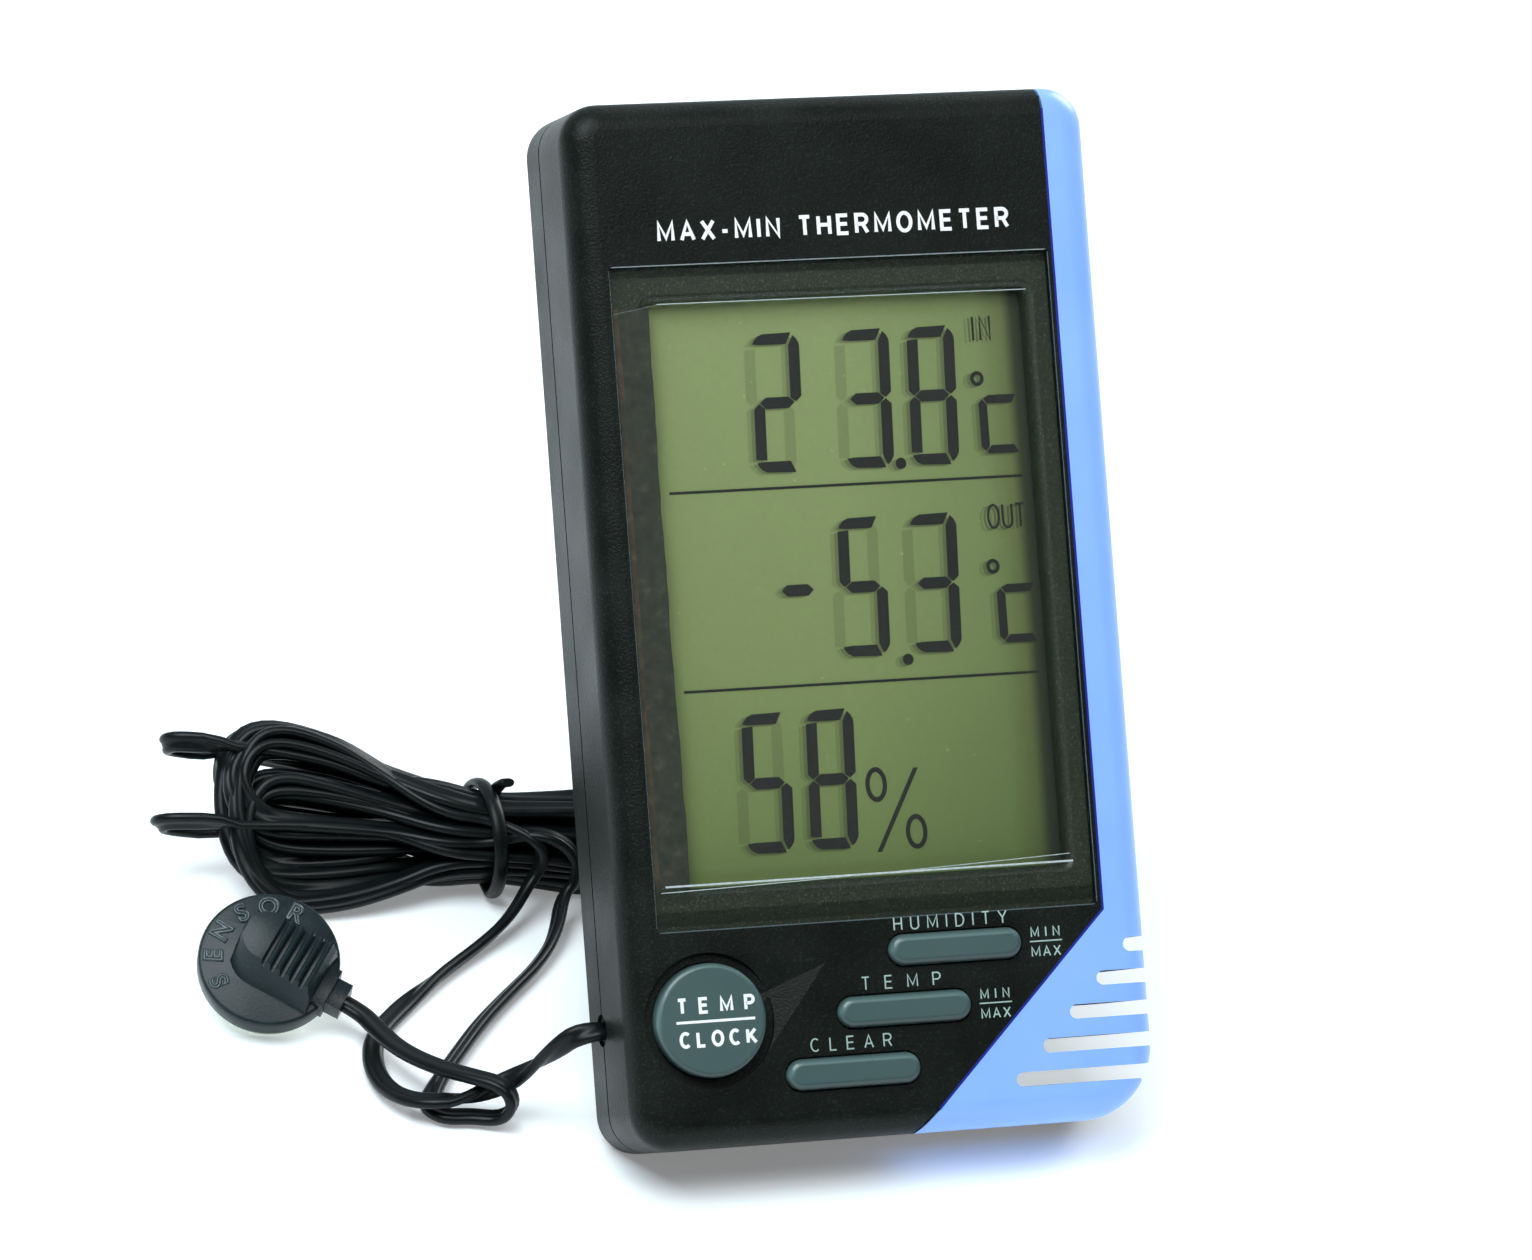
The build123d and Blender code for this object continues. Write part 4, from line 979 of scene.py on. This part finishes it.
def make_sensor_letters():
    """The word round the disc's rim, as raised outlines."""
    bm = bmesh.new()
    for k, letter in enumerate("SENSOR"):
        turn = radians(235 - 29 * k)
        curve = bpy.data.curves.new("letter", "FONT")
        curve.body = letter
        curve.align_x = "CENTER"
        curve.align_y = "CENTER"
        curve.fill_mode = "NONE"
        curve.size = 2.7 * MM
        curve.bevel_depth = 0.19 * MM
        curve.bevel_resolution = 2
        curve.resolution_u = 5
        curve.offset = 0.02 * MM
        holder = bpy.data.objects.new("letter", curve)
        outline = bpy.data.meshes.new_from_object(holder)
        spot = Vector((LETTER_RING_R * cos(turn), LETTER_RING_R * sin(turn), DISC_TOP_Z))
        outline.transform(Matrix.Translation(spot * MM) @ Matrix.Rotation(turn - pi / 2, 4, "Z"))
        bm.from_mesh(outline)
        bpy.data.objects.remove(holder)
        bpy.data.meshes.remove(outline)
        bpy.data.curves.remove(curve)
    mesh = bpy.data.meshes.new("sensor_letters")
    bm.to_mesh(mesh)
    bm.free()
    mesh.transform(sensor_place())
    letters = add_object("sensor_letters", mesh, "letters", "case")
    return letters


# The display

def figure_segments():
    """Each segment's outline in a figure's own cell."""
    w, h, t, g = FIG_W, FIG_H, SEG_T, SEG_GAP
    mid = h / 2

    def mirrored(points):
        return [(x, h - y) for x, y in points]

    top = [(0.1, h - 1.12), (0.28, h - 0.75), (0.6, h - 0.38), (1.15, h - 0.08), (w - 0.92, h),
           (w - 1.02, h - 0.25), (w - 1.5, h - t), (0.9, h - t)]
    right = [(w - 0.72, h - 0.3), (w - 0.35, h - 0.62), (w - 0.05, h - 1.15), (w, h - 1.5), (w, mid + 0.62),
             (w - 0.62, mid + g / 2), (w - t, mid + 0.5), (w - t, h - 1.35)]
    left = [(0, h - t - g - 0.1), (t, h - t - g), (t, mid + 0.55), (0.55, mid + g / 2), (0, mid + 0.62)]
    middle = [(0.68, mid), (1.35, mid + t / 2), (w - 1.45, mid + t / 2), (w - 0.78, mid),
              (w - 1.45, mid - t / 2), (1.35, mid - t / 2)]
    return {"a": top, "b": right, "c": mirrored(right), "d": mirrored(top), "e": mirrored(left), "f": left,
            "g": middle}


def draw_display(bm, z, dx=0.0, dy=0.0, thick=0.02, unlit=False):
    """The display's figures, signs and words, at a height, moved by dx and dy; not the percent sign or the
    row lines.
    """
    segments = figure_segments()
    for figure, x, y in FIGURE_ROWS:
        for name in ("abcdefg" if unlit else FIGURES[figure]):
            corners = [(x + dx + px + FIG_SLOPE * py, y + dy + py) for px, py in segments[name]]
            plate(bm, corners, z, z + thick)
    minus = [(px - 0.6, py) for px, py in segments["g"]]
    plate(bm, [(21.0 + dx + px * 0.92, 57.9 - FIG_H / 2 + dy + py) for px, py in minus], z, z + thick)
    for x, y in ((35.35, 70.75), (34.5, 49.95)):
        plate(bm, disc_points((x + dx, y + dy), 0.6), z, z + thick)
    for x, y in ((44.55, 79.35), (44.75, 59.3)):
        ring(bm, (x + dx, y + dy), (0.75, 0.8), (0.36, 0.4), z, z + thick)
    for x, y in ((44.5, 71.3), (44.95, 51.1)):
        draw_letter_c(bm, x + dx, y + dy, z, thick)
    words(bm, "IN", (44.35 + dx, 46.5 + dx, 83.3 + dy, 86.1 + dy), z, 0.26, 0.66, thick)
    words(bm, "OUT", (44.5 + dx, 48.85 + dx, 63.25 + dy, 65.95 + dy), z, 0.26, 0.66, thick)


def draw_letter_c(bm, x, y, z, thick):
    """The temperature unit's letter in three strokes."""
    high, t = 6.25, 0.9
    plate(bm, [(x + 0.95, y + high - t), (x + 0.55, y + high - 0.35), (x + 1.15, y + high),
               (x + 4.2, y + high), (x + 3.75, y + high - t)], z, z + thick)
    plate(bm, [(x, y + 0.75), (x + 0.5, y + 0.3), (x + 0.95, y + 0.85), (x + 0.95, y + high - t - 0.15),
               (x + 0.4, y + high - 0.45), (x, y + high - 0.85)], z, z + thick)
    plate(bm, [(x + 0.75, y), (x + 4.2, y), (x + 3.7, y + t), (x + 1.15, y + t), (x + 0.6, y + 0.25)],
          z, z + thick)


def draw_percent(bm, z, thick=0.02):
    """The percent sign: two oval rings and a stroke."""
    for x, y in ((29.9, 36.95), (34.0, 31.75)):
        ring(bm, (x, y), (1.2, 1.85), (0.72, 1.32), z, z + thick)
    foot, head, half = (29.7, 29.85), (34.45, 38.5), 0.22
    plate(bm, [(foot[0] - half, foot[1]), (foot[0] + half + 0.1, foot[1]),
               (head[0] + half, head[1]), (head[0] - half - 0.1, head[1])], z, z + thick)


def make_display():
    """The display's front glass, its figures, the lines between its rows and the figures' painted soft
    shadows.
    """
    left, right, low, high = GLASS
    bm = bmesh.new()
    plate(bm, [(left, low), (right, low), (right, high), (left, high)], GLASS_FRONT_Z - 0.85, GLASS_FRONT_Z)
    ground = add_on_case(bm, "lcd_ground", "lcd")
    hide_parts("lcd_front_glass")

    # Painted shadows of the figures: darker plates offset left and down, the wide one taking all seven
    # segments.
    for name, kind, dx, dy, lift in (("lcd_shade_wide", "figure_shadow_soft", -0.85, -0.25, 0.004),
                                     ("lcd_shade", "figure_shadow_sharp", -0.4, -0.15, 0.012)):
        bm = bmesh.new()
        draw_display(bm, GLASS_FRONT_Z + lift, dx, dy, 0.004, kind == "figure_shadow_soft")
        add_on_case(bm, name, kind)

    bm = bmesh.new()
    z = GLASS_FRONT_Z + 0.02
    draw_display(bm, z)
    draw_percent(bm, z)
    for x0, x1, y in ((9.5, 48.8, 68.8), (9.5, 49.0, 47.85)):
        plate(bm, [(x0, y - 0.14), (x1, y - 0.14), (x1, y + 0.14), (x0, y + 0.14)], z, z + 0.02)
    add_on_case(bm, "lcd_figures", "segment")


def bead(bm, line, z, radius, sides=8):
    """A thin half-sunk bead along a line of points in the face."""
    points = [Vector((*p, z)) for p in line]
    rings = []
    for k, here in enumerate(points):
        way = (points[min(k + 1, len(points) - 1)] - points[max(k - 1, 0)]).normalized()
        side = way.cross(Vector((0, 0, 1)))
        loop = []
        for n in range(sides):
            turn = 2 * pi * n / sides
            loop.append(bm.verts.new(here + side * (radius * cos(turn)) + Vector((0, 0, radius * sin(turn)))))
        rings.append(loop)
    join_loops(bm, rings)
    bm.faces.new(rings[0])
    bm.faces.new(list(reversed(rings[-1])))


def bowed(x0, x1, y0, y1, lift, steps=24):
    """A line from (x0, y0) to (x1, y1), bowed up at its middle."""
    shares = [k / steps for k in range(steps + 1)]
    return [(x0 + (x1 - x0) * t, y0 + (y1 - y0) * t + lift * 4 * t * (1 - t)) for t in shares]


def make_lens_highlights():
    """Painted highlights along the edges of the clear window and of its raised middle: pale beads, brightest
    at the bottom.
    """
    left, right, low, high = WINDOW
    step_left, step_right, step_low, _ = LENS_STEP
    # Bright painted highlights: a double line on the raised middle's bottom edge, and lines on its top and
    # the window's top.
    bright = bmesh.new()
    bead(bright, bowed(step_left, step_right - 0.3, step_low + 0.1, step_low + 0.1, 0.0), LENS_Z + 0.1, 0.11)
    bead(bright, bowed(step_left - 0.5, step_right - 0.6, step_low - 0.5, step_low + 0.9, -0.12),
         LENS_Z + 0.06, 0.045)
    bead(bright, bowed(8.6, 49.6, 88.45, 88.35, 0.0), LENS_Z + 0.08, 0.05)
    bead(bright, bowed(left + 0.3, right, high, high, 0.0), LENS_Z, 0.07)
    add_on_case(bright, "window_highlight_beads", "lens_highlight")

    # Faint painted highlights along the window's other edges and the raised middle's top left.
    faint = bmesh.new()
    bead(faint, bowed(left + 0.3, 8.6, 87.6, 88.4, 0.0), LENS_Z + 0.04, 0.03)
    bead(faint, bowed(left, left, low, high, 0.0), LENS_Z, 0.07)
    bead(faint, bowed(left, right, low, low, 0.0), LENS_Z, 0.08)
    bead(faint, bowed(right, right, low, high, 0.0), LENS_Z, 0.05)
    add_on_case(faint, "window_faint_highlight_beads", "lens_faint_highlight")


def uneven(rng, x, low, high, drift_mm, steps=40):
    """Points up a line that wanders a little from side to side."""
    edge = []
    drift = 0.0
    for k in range(steps + 1):
        drift = 0.75 * drift + rng.uniform(-drift_mm, drift_mm)
        edge.append((x + drift, low + (high - low) * k / steps))
    return edge


def make_ledge():
    """The bezel's dark ledge beside the display, with an uneven edge and a worn brown line at its left."""
    rng = random.Random(5)
    left, right, low, high = VIEW_LEDGE
    bm = bmesh.new()
    plate(bm, [(left, high), (left, low), *uneven(rng, right + 0.12, low, high, 0.07)],
          LEDGE_Z - 0.03, LEDGE_Z)
    add_on_case(bm, "bezel_ledge", "ledge")
    bm = bmesh.new()
    outer = list(reversed(uneven(rng, left, low, high, 0.03)))
    plate(bm, [*outer, *uneven(rng, left + LEDGE_RIM_W, low, high, 0.06)], LEDGE_Z, LEDGE_Z + 0.01)
    add_on_case(bm, "ledge_rim", "ledge_rim")


def make_trim_gap_shade():
    """Painted shade of the groove where the trim meets the front shell: a deep blue line."""
    bm = bmesh.new()
    line = [(TRIM_X, 107.6), (TRIM_X, TRIM_CORNER_Y), (TRIM_FOOT_X, 2.4)]
    stroke(bm, line, 0.13, FACE_Z - 0.3, FACE_Z + 0.012)
    add_on_case(bm, "trim_gap_shade", "trim_gap_shade")


def make_legends():
    """The printed words by the keys, and the plain line of words above the display."""
    bm = bmesh.new()
    z = FACE_Z + 0.004
    for text, box in FACE_WORDS:
        words(bm, text, box, z, FACE_STROKE)
    for x, y in MIN_MAX_AT:
        words(bm, "MIN", (x + 0.05, x + 3.3, y + 0.42, y + 1.55), z, FACE_STROKE)
        words(bm, "MAX", (x, x + 3.3, y - 1.65, y - 0.5), z, FACE_STROKE, 1.05)
        bar = [(x - 0.1, y - 0.07), (x + 3.5, y - 0.07), (x + 3.5, y + 0.07), (x - 0.1, y + 0.07)]
        plate(bm, bar, z, z + 0.02)
    add_on_case(bm, "face_legends", "print")

    bm = bmesh.new()
    words(bm, "MAX-MIN THERMOMETER", (9.2, 48.3, 94.9, 97.2), z, 0.4)
    add_on_case(bm, "top_line", "print_white")

    bm = bmesh.new()
    z = KEY_TOP_Z + 0.004
    words(bm, "TEMP", (4.85, 13.4, 14.1, 15.85), z, KEY_STROKE)
    words(bm, "CLOCK", (4.9, 13.4, 10.6, 12.35), z, KEY_STROKE)
    plate(bm, [(4.7, 13.16), (13.3, 13.16), (13.3, 13.44), (4.7, 13.44)], z, z + 0.02)
    add_on_case(bm, "key_legend", "print_white", "key_temp_clock")


make_camera()
make_studio()
SENSOR_PIECES = [make_sensor(), make_sensor_letters()]
SENSOR_PIECES += [frame["nodes"]["sensor_pad"], frame["nodes"]["sensor_thermistor"]]
make_lead()
make_tie()
finish_cad_nodes()
make_display()
make_lens_highlights()
make_ledge()
make_trim_gap_shade()
make_legends()
